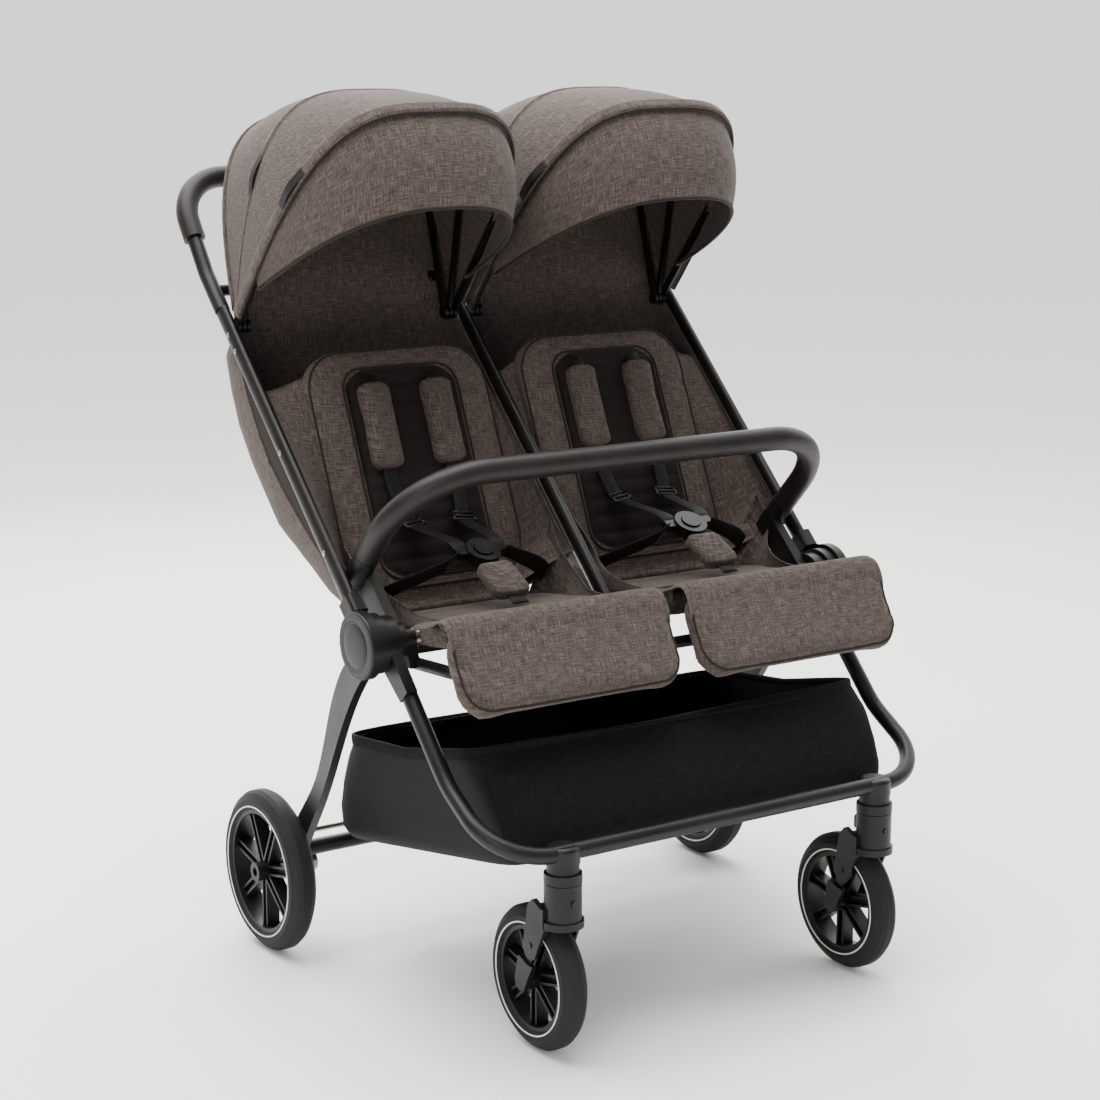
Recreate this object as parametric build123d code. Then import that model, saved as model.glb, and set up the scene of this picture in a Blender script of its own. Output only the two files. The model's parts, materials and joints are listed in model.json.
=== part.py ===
from build123d import *
from math import cos, radians, sin
import os

# Side-by-side twin folding stroller. Millimetres, +Z up, the front faces -Y.
# Every place in the side view is given from the hub axis, which is the fold axis:
# "forward" is towards the front wheels, "height" is above the ground.
# Left is the pusher's left hand, which is +X.

# ---------------------------------------------------------------- driving dimensions
rear_wheel_radius = 110
rear_wheel_width = 38
rear_track = 728                 # between the middles of the rear tyres
rear_rim_radius = 84
front_wheel_radius = 91
front_wheel_width = 36
front_rim_radius = 66
caster_spacing = 490             # between the two caster pivots
caster_forward = 255             # hub axis to caster pivot
caster_trail = 51.5
rear_axle_back = 281             # hub axis back to the rear axle
rear_axle_radius = 6
front_axle_radius = 6
collar_top = 252                 # heights of the caster's collars and swivel barrel
collar_step = 240
collar_bottom = 228
barrel_bottom = 181
caster_pin_radius = 8
caster_pin_bottom = 188
fork_pivot_back = 30             # behind the caster pivot
fork_pivot_height = 143
arm_inner = 21                   # fork plates, from the wheel's middle plane
arm_outer = 28
button_height = 206
button_radius = 3.5

hub_height = 482.5
main_tube_angle = 44.4           # from the ground, leaning back
main_tube_length = 540
canopy_pivot_distance = 512      # along the main tube from the hub axis
handle_knee_run = 65             # main tube end to the handle's first bend
cross_tube_run = 35              # main tube end to the cross tube
handle_run = 153.8               # from that bend to the grip's axis
handle_angle = 53.85             # of that run, from the ground
handle_half_width = 361
grip_radius = 15
handle_tube_radius = 10.5
leg_tube_radius = 10.5
tube_wall = 1.8
cross_tube_radius = 8
grip_bend = 72
fold_button_width = 30
fold_button_height = 16
oval_depth = 25                  # main tube, seen from the side
oval_width = 16

crossbar_forward = 259
crossbar_height = 265
crossbar_bend = 78
leg_seam_forward = 187
leg_seam_height = 307
leg_middle = 337                 # distance of the front leg from the middle plane

basket_half = 308
hub_radius = 43
pin_radius = 7
rail_radius = 8                  # seat support frame
fit = 0.06                       # radial clearance of a turning or sliding fit
gap = 1.0                        # room between neighbouring moving pieces

seat_inner = 22                  # seat pads, distance of the inner and outer edge
seat_outer = 311
seat_back_edge = -118
seat_front_edge = 104
seat_thickness = 26
seat_rear_height = 482           # top of the pad at its rear and front edge
seat_front_height = 517
backrest_angle = 66.5
backrest_length = 366
backrest_thickness = 24
backrest_hinge_back = 133
backrest_hinge_height = 478
pad_middle = 252                 # shoulder pads, up the backrest from its hinge
pad_offset = 48
pad_thickness = 18
buckle_button_radius = 13
footrest_inner = 12
footrest_outer = 342
footrest_length = 122
footrest_overhang = 22           # how far the pad reaches above its hinge
footrest_thickness = 22
footrest_angle = 60

canopy_side_room = 1             # canopy hoop to the main tube beside it
canopy_rim_crown = 368
canopy_rim_shoulder = 245
canopy_rim_angle = 50.5
canopy_mid_angle = 78
canopy_rear_angle = 106
canopy_mid_crown = 311
canopy_rear_crown = 281
visor_low_angle = 31
visor_low_crown = 322
fabric = 3

bumper_radius = 16
bumper_middle = 334
bumper_forward = 54
bumper_height = 694
bumper_bend = 108
bumper_start_forward = -50
bumper_start_height = 582
bumper_spigot_radius = 10
bumper_spigot_length = 44

# ---------------------------------------------------------------- places worked out
tube_middle = handle_half_width
canopy_half_width = (tube_middle - oval_width - 4 - canopy_side_room) / 2
canopy_middle = canopy_half_width + oval_width / 2 + 4
seat_middle = (seat_inner + seat_outer) / 2
handle_knee_distance = main_tube_length + handle_knee_run
handle_back = (handle_knee_distance * cos(radians(main_tube_angle))
               + handle_run * cos(radians(handle_angle)))
handle_height = (hub_height + handle_knee_distance * sin(radians(main_tube_angle))
                 + handle_run * sin(radians(handle_angle)))
cross_distance = main_tube_length + cross_tube_run
front_reach = caster_forward - caster_trail + front_wheel_radius
rear_reach = handle_back + grip_radius
hub_y = (front_reach - rear_reach) / 2
hub_point = Vector(0, hub_y, hub_height)
tube_dir = Vector(0, cos(radians(main_tube_angle)), sin(radians(main_tube_angle)))
SIDES = {"left": 1, "right": -1}
nodes = {}


def at(x, forward, height):
    """A point from its distance to the middle plane, forward of the hub, and height."""
    return Vector(x, hub_y - forward, height)


def along_tube(x, distance):
    return Vector(x, hub_y, hub_height) + tube_dir * distance


def save(name, *solids):
    shapes = [s for piece in solids for s in piece.solids()]
    nodes[name] = shapes[0] if len(shapes) == 1 else Compound(children=shapes)


def flip(shape, side):
    return shape if side > 0 else mirror(shape, about=Plane.YZ)


def cross_disc(x0, x1, centre, radius):
    """A cylinder along X between x0 and x1, about a point of the side view."""
    middle = Vector((x0 + x1) / 2, centre.Y, centre.Z)
    return Pos(*middle) * Rot(0, 90, 0) * Cylinder(radius, abs(x1 - x0))


def bent_tube(points, radius, bends, wall=0):
    path = FilletPolyline(*points, radius=bends)
    section = Circle(radius) if not wall else Circle(radius) - Circle(radius - wall)
    return sweep(Plane(origin=path @ 0, z_dir=path % 0) * section, path=path)


def straight_bar(start, end, radius, wall=0):
    axis = end - start
    section = Circle(radius) if not wall else Circle(radius) - Circle(radius - wall)
    return extrude(Plane(origin=start, z_dir=axis) * section, amount=axis.length)


def side_plane(x, origin):
    """Sketch plane in the side view: local x forward, local y up."""
    return Plane(origin=Vector(x, origin.Y, origin.Z), x_dir=(0, -1, 0), z_dir=(-1, 0, 0))


def side_plate(x0, x1, sketch, origin):
    plate = extrude(side_plane((x0 + x1) / 2, origin) * sketch, amount=abs(x1 - x0) / 2, both=True)
    return plate


def side_outline(points):
    """A closed outline from (forward, height) points, about the hub axis."""
    return Polygon(*[(f, h - hub_height) for f, h in points], align=None)


def side_polygon(x0, x1, points, rounding=0):
    """A plate between x0 and x1 with its outline given as (forward, height) points."""
    outline = side_outline(points)
    if rounding:
        outline = fillet(outline.vertices(), rounding)
    return side_plate(x0, x1, outline, hub_point)


# ---------------------------------------------------------------- layers across the hub
hub_outer = tube_middle + 20
rear_leg_layer = (tube_middle - 10, tube_middle + 4)
rear_leg_middle = tube_middle - 2
front_leg_layer = (tube_middle - 28, tube_middle - 12.5)
bumper_layer = (tube_middle - 43, tube_middle - 29)
support_layer = (tube_middle - 59, tube_middle - 44)


# ---------------------------------------------------------------- front frame
crossbar_corner = at(leg_middle, crossbar_forward, crossbar_height)


def front_leg():
    hub_lug = cross_disc(*front_leg_layer, hub_point, hub_radius - 10)
    top = at(leg_middle, 30, hub_height - 30)
    seam = at(leg_middle, leg_seam_forward, leg_seam_height)
    knee = seam + (seam - crossbar_corner).normalized() * 51
    tube = bent_tube([top, knee, seam], leg_tube_radius, [120])
    lug_neck = side_polygon(*front_leg_layer, [(0, 508), (0, 458), (52, 418), (68, 434)])
    leg = hub_lug + lug_neck + tube
    return leg - cross_disc(support_layer[0], hub_outer, hub_point, pin_radius)


def caster_pivot(side):
    return at(side * caster_spacing / 2, caster_forward, 0)


def front_crossbar():
    seam = at(leg_middle, leg_seam_forward, leg_seam_height)
    points = [seam, crossbar_corner, at(-leg_middle, crossbar_forward, crossbar_height),
              at(-leg_middle, leg_seam_forward, leg_seam_height)]
    bar = bent_tube(points, leg_tube_radius, [crossbar_bend, crossbar_bend])
    for side in SIDES.values():
        pivot = caster_pivot(side)
        boss_height = 22
        boss = Pos(pivot.X, pivot.Y, collar_top + boss_height / 2) * Cylinder(21, boss_height)
        bar += fillet(boss.edges().group_by(Axis.Z)[-1], 6)
    return bar


def hub_core(side):
    """The pin that legs, bumper socket and main tube turn on, with a collar inside."""
    pin = cross_disc(support_layer[0] - 4, hub_outer - 3, hub_point, pin_radius)
    collar = cross_disc(support_layer[0] - 8, support_layer[0] - 0.5, hub_point, 12)
    return flip(pin + collar, side)


def seat_support_frame():
    """A bow under both seats, lugs on the hub pins and a clevis for the centre tube."""
    low = seat_rear_height - 38
    rail = support_layer[0] - 2
    back, front = -105, 128
    high = low + 16
    points = [at(rail, back, low), at(rail, front, high), at(-rail, front, high), at(-rail, back, low)]
    frame = bent_tube(points, rail_radius, [40, 40])
    frame += straight_bar(at(rail + 4, back + 20, low), at(-rail - 4, back + 20, low), rail_radius)
    ear_layer = (oval_width / 2 + gap, oval_width / 2 + gap + 6)
    for side in SIDES.values():
        lug = cross_disc(*support_layer, hub_point, 15)
        lug += side_polygon(*support_layer, [(-13, 484), (13, 484), (24, 450), (-24, 447)])
        lug -= cross_disc(support_layer[0], front_leg_layer[0], hub_point, pin_radius)
        frame += flip(lug, side)
        ear = cross_disc(*ear_layer, hub_point, 14)
        ear += side_polygon(*ear_layer, [(-13, 484), (13, 484), (20, 448), (-88, 440), (-88, 450)])
        frame += flip(ear, side)
    return frame + cross_disc(-ear_layer[1] + 1, ear_layer[1] - 1, hub_point, pin_radius)


def seat_pad(side):
    top_rear = seat_rear_height
    outline = [(seat_back_edge, top_rear - seat_thickness), (seat_back_edge, top_rear),
               (seat_front_edge, seat_front_height), (seat_front_edge, seat_front_height - seat_thickness)]
    pad = side_polygon(seat_inner, seat_outer, outline, rounding=8)
    hub_room = side_plate(support_layer[0] - 11, seat_outer + 1, Rectangle(64, 120), hub_point)
    return flip(pad - hub_room, side)


save("front_legs", *[flip(front_leg(), s) for s in SIDES.values()])
save("front_crossbar", front_crossbar())
save("hub_pins", *[hub_core(s) for s in SIDES.values()])
save("seat_support_frame", seat_support_frame())
for name, side in SIDES.items():
    save(f"seat_pad_{name}", seat_pad(side))


# ---------------------------------------------------------------- basket
def basket():
    """A soft open-topped bin hung between the front legs and the rear legs."""
    walls = [(-130, 306), (116, 345), (150, 372), (205, 308), (232, 252), (60, 200), (-110, 164),
             (-190, 150), (-196, 190)]
    opening = [(-127, 300), (116, 338), (146, 366), (130, 420), (-127, 420)]
    outline, mouth = side_outline(walls), side_outline(opening)
    room = offset(outline, amount=-fabric, kind=Kind.INTERSECTION)
    body = side_plate(-basket_half, basket_half, outline, hub_point)
    inside = basket_half - fabric
    return body - side_plate(-inside, inside, room + mouth, hub_point)


save("basket", basket())


# ---------------------------------------------------------------- casters
def caster_housing(side):
    p = caster_pivot(side)
    housing = None
    for radius, top, bottom in ((20, collar_top, collar_step), (23.5, collar_step, collar_bottom),
                                (caster_pin_radius, collar_bottom, caster_pin_bottom)):
        ring = Pos(p.X, p.Y, (top + bottom) / 2) * Cylinder(radius, top - bottom)
        housing = ring if housing is None else housing + ring
    return housing


save("caster_housings", *[caster_housing(s) for s in SIDES.values()])


def fork_plate(x0, x1, points, rounding=0):
    """A plate of the fork, from (behind the caster pivot, height) points."""
    outline = Polygon(*[(-b, h) for b, h in points], align=None)
    if rounding:
        outline = fillet(outline.vertices(), rounding)
    return side_plate(x0, x1, outline, Vector(0, 0, 0))


pivot_seat = Vector(0, fork_pivot_back, fork_pivot_height)
axle_seat = Vector(0, caster_trail, front_wheel_radius)


def both_sides(shape):
    return shape + mirror(shape, about=Plane.YZ)


def caster_yoke():
    barrel_top = collar_bottom - gap
    barrel = Pos(0, 0, (barrel_top + barrel_bottom) / 2) * Cylinder(23, barrel_top - barrel_bottom)
    flange_height = 9
    crown = Pos(0, 2, barrel_bottom - flange_height / 2) * Cylinder(27, flange_height)
    crown += Pos(0, 14, 190 - 6) * Box(2 * arm_outer, 24, 24)
    crown -= cross_disc(-arm_outer - 2, arm_outer + 2, axle_seat, front_wheel_radius + 3)
    outline = [(0, 170), (8, 196), (26, 204), (36, 192), (40, 168), (46, 140), (34, 124), (20, 128), (6, 158)]
    arm = fork_plate(arm_inner, arm_outer, outline, rounding=3)
    arm -= cross_disc(arm_inner - 1, arm_inner + 3.6, pivot_seat, 29)
    arm += cross_disc(arm_inner, arm_outer + 1.2, pivot_seat, 4)
    yoke = barrel + crown + both_sides(arm)
    yoke -= Pos(0, 0, 205) * Cylinder(caster_pin_radius + fit, 60)
    return yoke - Pos(0, -22, button_height) * Rot(90, 0, 0) * Cylinder(button_radius + 0.3, 10)


def fork_arm():
    """Lower fork on the suspension pivot, with the wheel's axle across it."""
    outline = [(14, 136), (46, 120), (56, 124), (64, 92), (56, 78), (44, 80), (34, 100)]
    plate = fork_plate(arm_inner, arm_outer, outline, rounding=3)
    plate -= cross_disc(arm_inner - 1, arm_outer + 1, pivot_seat, 27)
    plate += cross_disc(arm_inner, arm_inner + 3, pivot_seat, 15)
    plate += fork_plate(arm_inner, arm_inner + 3, [(22, 140), (40, 140), (52, 110), (40, 104)])
    plate += cross_disc(arm_inner, arm_outer, axle_seat, 12)
    plate -= cross_disc(arm_inner - 2, arm_outer + 2, pivot_seat, 4 + fit)
    return both_sides(plate) + cross_disc(-arm_inner - 1, arm_inner + 1, axle_seat, front_axle_radius)


def lock_lever():
    """Swivel lock tab behind the barrel."""
    tab = Pos(0, 27.5, 207) * Box(16, 5, 20)
    return fillet(tab.edges().filter_by(Axis.Y), 5)


def release_button():
    return Pos(0, -22.8, button_height) * Rot(90, 0, 0) * Cylinder(button_radius, 4)


def wheel_rim(rim_radius, width, hub_half, bore, spokes):
    """A moulded rim: hub barrel, twin-rib spokes and a channel that the tyre sits in."""
    ring = Cylinder(rim_radius, width) - Cylinder(rim_radius - 5, width + 2)
    barrel = Cylinder(13, 2 * hub_half)
    rim = ring + barrel
    rib_length = rim_radius - 5 - 10
    rib = Pos(10 + rib_length / 2, 0, 0) * Box(rib_length + 2, 3.2, width * 0.62)
    web = Pos(10 + rib_length / 2, 0, 0) * Box(rib_length + 2, 9, 3)
    for k in range(spokes):
        turn = Rot(0, 0, 360 / spokes * k)
        rim += turn * (Pos(0, 5.5, 0) * rib)
        rim += turn * (Pos(0, -5.5, 0) * rib)
        rim += turn * web
    rim = rim - Cylinder(bore, 2 * hub_half + 4)
    return Rot(0, 90, 0) * rim


def wheel_tyre(outer, inner, width):
    """A foam tyre with a flattened tread and rounded shoulders."""
    half = width / 2
    upper = [(inner, half - 5), (inner + 4, half), (outer - 13, half), (outer - 3.5, half - 7),
             (outer, half - 13)]
    lower = [(radius, -height) for radius, height in reversed(upper)]
    profile = make_face(Polyline(*upper, *lower, close=True))
    ring = revolve(Plane.XZ * profile, axis=Axis.Z)
    return Rot(0, 90, 0) * ring


for name, side in SIDES.items():
    place = Pos(side * caster_spacing / 2, hub_y - caster_forward, 0)
    wheel_place = place * Pos(0, caster_trail, front_wheel_radius)
    save(f"caster_yoke_{name}", place * caster_yoke())
    save(f"fork_arm_{name}", place * fork_arm())
    save(f"swivel_lock_{name}", place * lock_lever())
    save(f"caster_release_{name}", place * release_button())
    rim = wheel_rim(front_rim_radius, 28, arm_inner - gap, front_axle_radius + fit, 7)
    tyre = wheel_tyre(front_wheel_radius, front_rim_radius, front_wheel_width)
    save(f"front_rim_{name}", wheel_place * rim)
    save(f"front_tyre_{name}", wheel_place * tyre)

# ---------------------------------------------------------------- rear frame
rear_axle = at(0, -rear_axle_back, rear_wheel_radius)
cross_tube = at(0, -rear_axle_back + 12, rear_wheel_radius + 24)
rear_wheel_middle = rear_track / 2
rear_leg_foot_middle = rear_wheel_middle - 33
foot_half = 9
rear_tube_radius = 11


def rear_leg():
    """A flat S-shaped leg that leans inwards from the hub to the axle."""
    top = Vector(rear_leg_middle, hub_point.Y, hub_point.Z)
    foot = Vector(rear_leg_foot_middle, rear_axle.Y, rear_axle.Z)
    foot_sides = (rear_leg_foot_middle - foot_half, rear_leg_foot_middle + foot_half)
    run = foot - top
    start, end = 30, run.length - 6
    across = Vector(0, -run.Z, run.Y).normalized()
    plane = Plane(origin=top, x_dir=run, z_dir=run.cross(across))
    rear_points = [(start, 18), (0.30 * end, 30), (0.62 * end, 7), (0.82 * end, 16), (end, 17)]
    front_points = [(end, -15), (0.80 * end, -16), (0.62 * end, -17), (0.30 * end, -8), (start, -18)]
    outline = make_face([Spline(*rear_points), Line(rear_points[-1], front_points[0]),
                         Spline(*front_points), Line(front_points[-1], rear_points[0])])
    leg = extrude(plane * outline, amount=6, both=True)
    leg += cross_disc(*rear_leg_layer, hub_point, hub_radius - 5)
    leg += cross_disc(*foot_sides, rear_axle, 18)
    leg += cross_disc(*foot_sides, cross_tube, rear_tube_radius + 4)
    leg -= cross_disc(support_layer[0], hub_outer, hub_point, pin_radius + fit)
    leg -= cross_disc(*foot_sides, cross_tube, rear_tube_radius)
    return leg - cross_disc(*foot_sides, rear_axle, rear_axle_radius)


def rear_axle_tube():
    reach = Vector(rear_leg_foot_middle + foot_half, 0, 0)
    return straight_bar(cross_tube - reach, cross_tube + reach, rear_tube_radius, tube_wall)


def stub_axle(side):
    """Axle stub with the brake barrel on its inner end."""
    inner_face = rear_leg_foot_middle - foot_half
    stub = cross_disc(inner_face, rear_wheel_middle + 16, rear_axle, rear_axle_radius)
    barrel = cross_disc(inner_face - 25, inner_face, rear_axle, 13)
    return flip(stub + barrel, side)


save("rear_legs", *[flip(rear_leg(), s) for s in SIDES.values()])
for name, side in SIDES.items():
    wheel_place = Pos(side * rear_wheel_middle, rear_axle.Y, rear_axle.Z)
    rim_half = rear_wheel_middle - rear_leg_foot_middle - foot_half - gap
    rim = wheel_rim(rear_rim_radius, 30, rim_half, rear_axle_radius + fit, 7)
    tyre = wheel_tyre(rear_wheel_radius, rear_rim_radius, rear_wheel_width)
    save(f"rear_rim_{name}", wheel_place * rim)
    save(f"rear_tyre_{name}", wheel_place * tyre)
save("rear_axle_tube", rear_axle_tube())
save("rear_axle_stubs", *[stub_axle(s) for s in SIDES.values()])

brake_pivot = rear_axle + Vector(0, 26, 34)
brake_rod_radius = 4
brake_reach = rear_leg_foot_middle - 31
pedal_middle = 210
pedal_width = 60


def brake_rod():
    rod = cross_disc(-brake_reach, brake_reach, brake_pivot, brake_rod_radius)
    for side in SIDES.values():
        outline = Circle(8) + Pos(6, -8) * Rectangle(8, 14)
        pawl = side_plate(brake_reach - 10, brake_reach, outline, brake_pivot)
        rod += flip(pawl, side)
    return rod


def brake_pedal():
    sides = (pedal_middle - pedal_width / 2, pedal_middle + pedal_width / 2)
    pedal = side_plate(*sides, Pos(-22, 6) * Rot(0, 0, -12) * Rectangle(40, 6), brake_pivot)
    pedal = fillet(pedal.edges().filter_by(Axis.X), 2.4)
    pedal += cross_disc(sides[0] + 5, sides[1] - 5, brake_pivot, 2 * brake_rod_radius)
    return pedal - cross_disc(*sides, brake_pivot, brake_rod_radius)


save("brake_rod", brake_rod())
save("brake_pedal", brake_pedal())


# ---------------------------------------------------------------- main frame
def tube_section(x, distance):
    """Sketch plane across the main tube: local x sideways, local y through its depth."""
    return Plane(origin=along_tube(x, distance), x_dir=(1, 0, 0), z_dir=tube_dir)


def oval(shrink=0):
    return Ellipse(oval_width / 2 - shrink, oval_depth / 2 - shrink)


def oval_tube(x, start, end):
    return extrude(tube_section(x, start) * (oval() - oval(tube_wall)), amount=end - start)


def side_tube():
    return oval_tube(tube_middle, hub_radius + 2, main_tube_length)


def hub_cover():
    """A round drum over the hub with a socket block that holds the main tube."""
    drum = cross_disc(rear_leg_layer[1] + gap, hub_outer, hub_point, hub_radius)
    drum = fillet(drum.edges().group_by(Axis.X)[-1], 3)
    block_plane = tube_section(tube_middle, hub_radius - 1)
    block = extrude(block_plane * RectangleRounded(oval_width + 6, oval_depth + 8, 6), amount=26)
    web = extrude(block_plane * Pos(oval_width / 2 + 1, 0) * Rectangle(6, oval_depth + 4), amount=-12)
    cover = drum + block + web
    cover -= extrude(tube_section(tube_middle, hub_radius + 2) * oval(), amount=40)
    return cover - cross_disc(rear_leg_layer[0], hub_outer - 2.5, hub_point, pin_radius + fit)


def centre_tube():
    tube = oval_tube(0, 15, cross_distance - 9)
    tube += cross_disc(-oval_width / 2, oval_width / 2, hub_point, 16)
    return tube - cross_disc(-20, 20, hub_point, pin_radius + fit)


def handle_points():
    """Main tube end, first bend and rear corner of the handle, on the left side."""
    corner = Vector(tube_middle, hub_y + handle_back, handle_height)
    return along_tube(tube_middle, main_tube_length), along_tube(tube_middle, handle_knee_distance), corner


def push_handle():
    """One bent tube from side to side, with spigots in the main tubes and a cross tube."""
    half = handle_points()
    other = [Vector(-p.X, p.Y, p.Z) for p in reversed(half)]
    handle = bent_tube([*half, *other], handle_tube_radius, [90, grip_bend, grip_bend, 90], 2)
    for side in SIDES.values():
        spigot_plane = tube_section(side * tube_middle, main_tube_length - 40)
        handle += extrude(spigot_plane * oval(tube_wall + 0.1), amount=44)
    reach = Vector(tube_middle - 6, 0, 0)
    middle = along_tube(0, cross_distance)
    return handle + straight_bar(middle - reach, middle + reach, cross_tube_radius)


def handle_grip():
    """Padded cover over the handle's cross part, down to the two collars."""
    _, knee, corner = handle_points()
    start = knee + (corner - knee) * 0.36
    points = [start, corner, Vector(-corner.X, corner.Y, corner.Z), Vector(-start.X, start.Y, start.Z)]
    path = FilletPolyline(*points, radius=[grip_bend, grip_bend])
    section = Plane(origin=path @ 0, z_dir=path % 0) * (Circle(grip_radius) - Circle(handle_tube_radius))
    return sweep(section, path=path)


def fold_housing_place():
    return Pos(*along_tube(0, cross_distance)) * Rot(main_tube_angle - 90, 0, 0)


def fold_housing():
    place = fold_housing_place()
    block = fillet((place * Box(74, 34, 30)).edges(), 5)
    block -= cross_disc(-50, 50, along_tube(0, cross_distance), cross_tube_radius)
    block -= place * Pos(0, 14, 0) * Box(fold_button_width + 2 * gap, 10, fold_button_height + 2 * gap)
    return block - extrude(tube_section(0, cross_distance - 30) * oval(), amount=21)


def fold_button():
    return fold_housing_place() * Pos(0, 16, 0) * Box(fold_button_width, 6, fold_button_height)


save("side_tubes", *[flip(side_tube(), s) for s in SIDES.values()])
save("hub_covers", *[flip(hub_cover(), s) for s in SIDES.values()])
save("centre_tube", centre_tube())
save("push_handle", push_handle())
save("handle_grip", handle_grip())
save("fold_housing", fold_housing())
save("fold_button", fold_button())

# ---------------------------------------------------------------- canopies
canopy_pivot = along_tube(0, canopy_pivot_distance)


def arch(half_width, shoulder, crown, foot):
    """Half-round arch outline in a plane: local x across, local y away from the pivot."""
    points = [(-half_width, foot), (-half_width, shoulder), (-half_width * 0.74, crown * 0.93), (0, crown),
              (half_width * 0.74, crown * 0.93), (half_width, shoulder), (half_width, foot)]
    line = FilletPolyline(*points, radius=[60, 70, 160, 70, 60])
    return make_face(line + Line(points[-1], points[0]))


def arch_band(half_width, shoulder, crown, foot, thickness):
    inner = arch(half_width - thickness, shoulder - thickness * 0.5, crown - thickness, foot)
    return arch(half_width, shoulder, crown, foot) - inner


def canopy_plane(side, angle):
    """Plane through the canopy pivot, standing at an angle above forward."""
    out = Vector(0, -cos(radians(angle)), sin(radians(angle)))
    return Plane(origin=Vector(side * canopy_middle, canopy_pivot.Y, canopy_pivot.Z),
                 x_dir=(1, 0, 0), z_dir=Vector(1, 0, 0).cross(out))


def bow(side, angle, half_width, shoulder, crown, width):
    depth = 5
    outline = arch_band(half_width, shoulder, crown, 0, depth)
    band = extrude(canopy_plane(side, angle) * outline, amount=width / 2, both=True)
    middle = side * canopy_middle
    for end in (-1, 1):
        band += cross_disc(middle + end * (half_width - depth), middle + end * half_width, canopy_pivot, 9)
    return band


def canopy_fabric(side):
    """The hood: one shell from the rim over the crown to the rear hoop, open below."""
    skin = canopy_half_width + 1 + fabric
    sections = []
    for angle, shoulder, crown in ((canopy_rim_angle + 1.5, canopy_rim_shoulder, canopy_rim_crown),
                                   (canopy_mid_angle, 215, canopy_mid_crown),
                                   (canopy_rear_angle, 195, canopy_rear_crown)):
        band = arch_band(skin, shoulder + 2, crown + 1 + fabric, 24, fabric)
        sections.append(canopy_plane(side, angle) * band)
    return loft(sections, ruled=True)


def visor(side):
    """Sun visor between the front hoop and its own lower, narrower arch."""
    sections = []
    for angle, half_width, shoulder, crown in ((canopy_rim_angle - 4.5, canopy_half_width - 12, 225, 352),
                                               (visor_low_angle, canopy_half_width - 18, 200, visor_low_crown)):
        sections.append(canopy_plane(side, angle) * arch_band(half_width, shoulder, crown, 84, fabric))
    return loft(sections, ruled=True)


bow_sizes = {"front": (canopy_rim_angle, canopy_half_width, canopy_rim_shoulder, canopy_rim_crown),
             "mid": (canopy_mid_angle, canopy_half_width - 7, 208, canopy_mid_crown - 2),
             "rear": (canopy_rear_angle, canopy_half_width - 14, 186, canopy_rear_crown - 4)}
for name, side in SIDES.items():
    save(f"canopy_front_bow_{name}", bow(side, *bow_sizes["front"], 12))
    save(f"canopy_mid_bow_{name}", bow(side, *bow_sizes["mid"], 9))
    save(f"canopy_fabric_{name}", canopy_fabric(side))
    save(f"canopy_visor_{name}", visor(side))
save("canopy_rear_hoops", *[bow(s, *bow_sizes["rear"], 9) for s in SIDES.values()])

# ---------------------------------------------------------------- bumper bar
bumper_start = at(bumper_middle, bumper_start_forward, bumper_start_height)
bumper_corner = at(bumper_middle, bumper_forward, bumper_height)
bumper_dir = (bumper_corner - bumper_start).normalized()


def bumper_bar():
    half = [bumper_start, bumper_corner]
    other = [Vector(-p.X, p.Y, p.Z) for p in reversed(half)]
    bar = bent_tube(half + other, bumper_radius, [bumper_bend, bumper_bend])
    for side in SIDES.values():
        start = Vector(side * bumper_start.X, bumper_start.Y, bumper_start.Z)
        bar += straight_bar(start - bumper_dir * bumper_spigot_length, start, bumper_spigot_radius)
    return bar


def bumper_socket(side):
    depth = bumper_spigot_length + 6
    seat = bumper_start - bumper_dir * 1.0
    socket = straight_bar(seat - bumper_dir * depth, seat, bumper_radius)
    arm = cross_disc(*bumper_layer, hub_point, 22)
    foot = seat - bumper_dir * depth
    foot_forward = hub_y - foot.Y
    outline = [(14, 492), (-14, 470), (foot_forward - 8, foot.Z), (foot_forward + 14, foot.Z + 26)]
    socket += arm + side_polygon(*bumper_layer, outline)
    socket -= straight_bar(seat - bumper_dir * (bumper_spigot_length + 1), seat, bumper_spigot_radius + fit)
    socket -= cross_disc(support_layer[0], front_leg_layer[1], hub_point, pin_radius + fit)
    return flip(socket, side)


save("bumper_bar", bumper_bar())
save("bumper_sockets", *[bumper_socket(s) for s in SIDES.values()])

# ---------------------------------------------------------------- backrests, harness, footrests
backrest_hinge = at(0, -backrest_hinge_back, backrest_hinge_height)
back_dir = Vector(0, cos(radians(backrest_angle)), sin(radians(backrest_angle)))
back_out = Vector(0, -sin(radians(backrest_angle)), cos(radians(backrest_angle)))


def backrest_plane(side, along, out):
    origin = Vector(side * seat_middle, backrest_hinge.Y, backrest_hinge.Z)
    return Plane(origin=origin + back_dir * along + back_out * out, x_dir=(1, 0, 0), z_dir=back_out)


def backrest(side):
    width = seat_outer - seat_inner - 4
    foot_room = 26
    middle = foot_room / 2 + backrest_length / 2
    plane = backrest_plane(side, middle, -backrest_thickness / 2)
    outline = RectangleRounded(width, backrest_length - foot_room, 60)
    pad = extrude(plane * outline, amount=backrest_thickness / 2, both=True)
    rod = cross_disc(side * (seat_inner + 12), side * (seat_outer - 12), backrest_hinge, 6)
    board_plane = backrest_plane(side, 16, -backrest_thickness / 2)
    board = extrude(board_plane * Rectangle(width - 60, 40), amount=8, both=True)
    return pad + board + rod


def shoulder_pads(side):
    pads = []
    for end in (-1, 1):
        plane = backrest_plane(side, pad_middle, gap + pad_thickness / 2) * Pos(end * pad_offset, 0)
        pads.append(extrude(plane * RectangleRounded(46, 118, 12), amount=pad_thickness / 2, both=True))
    return pads


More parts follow.
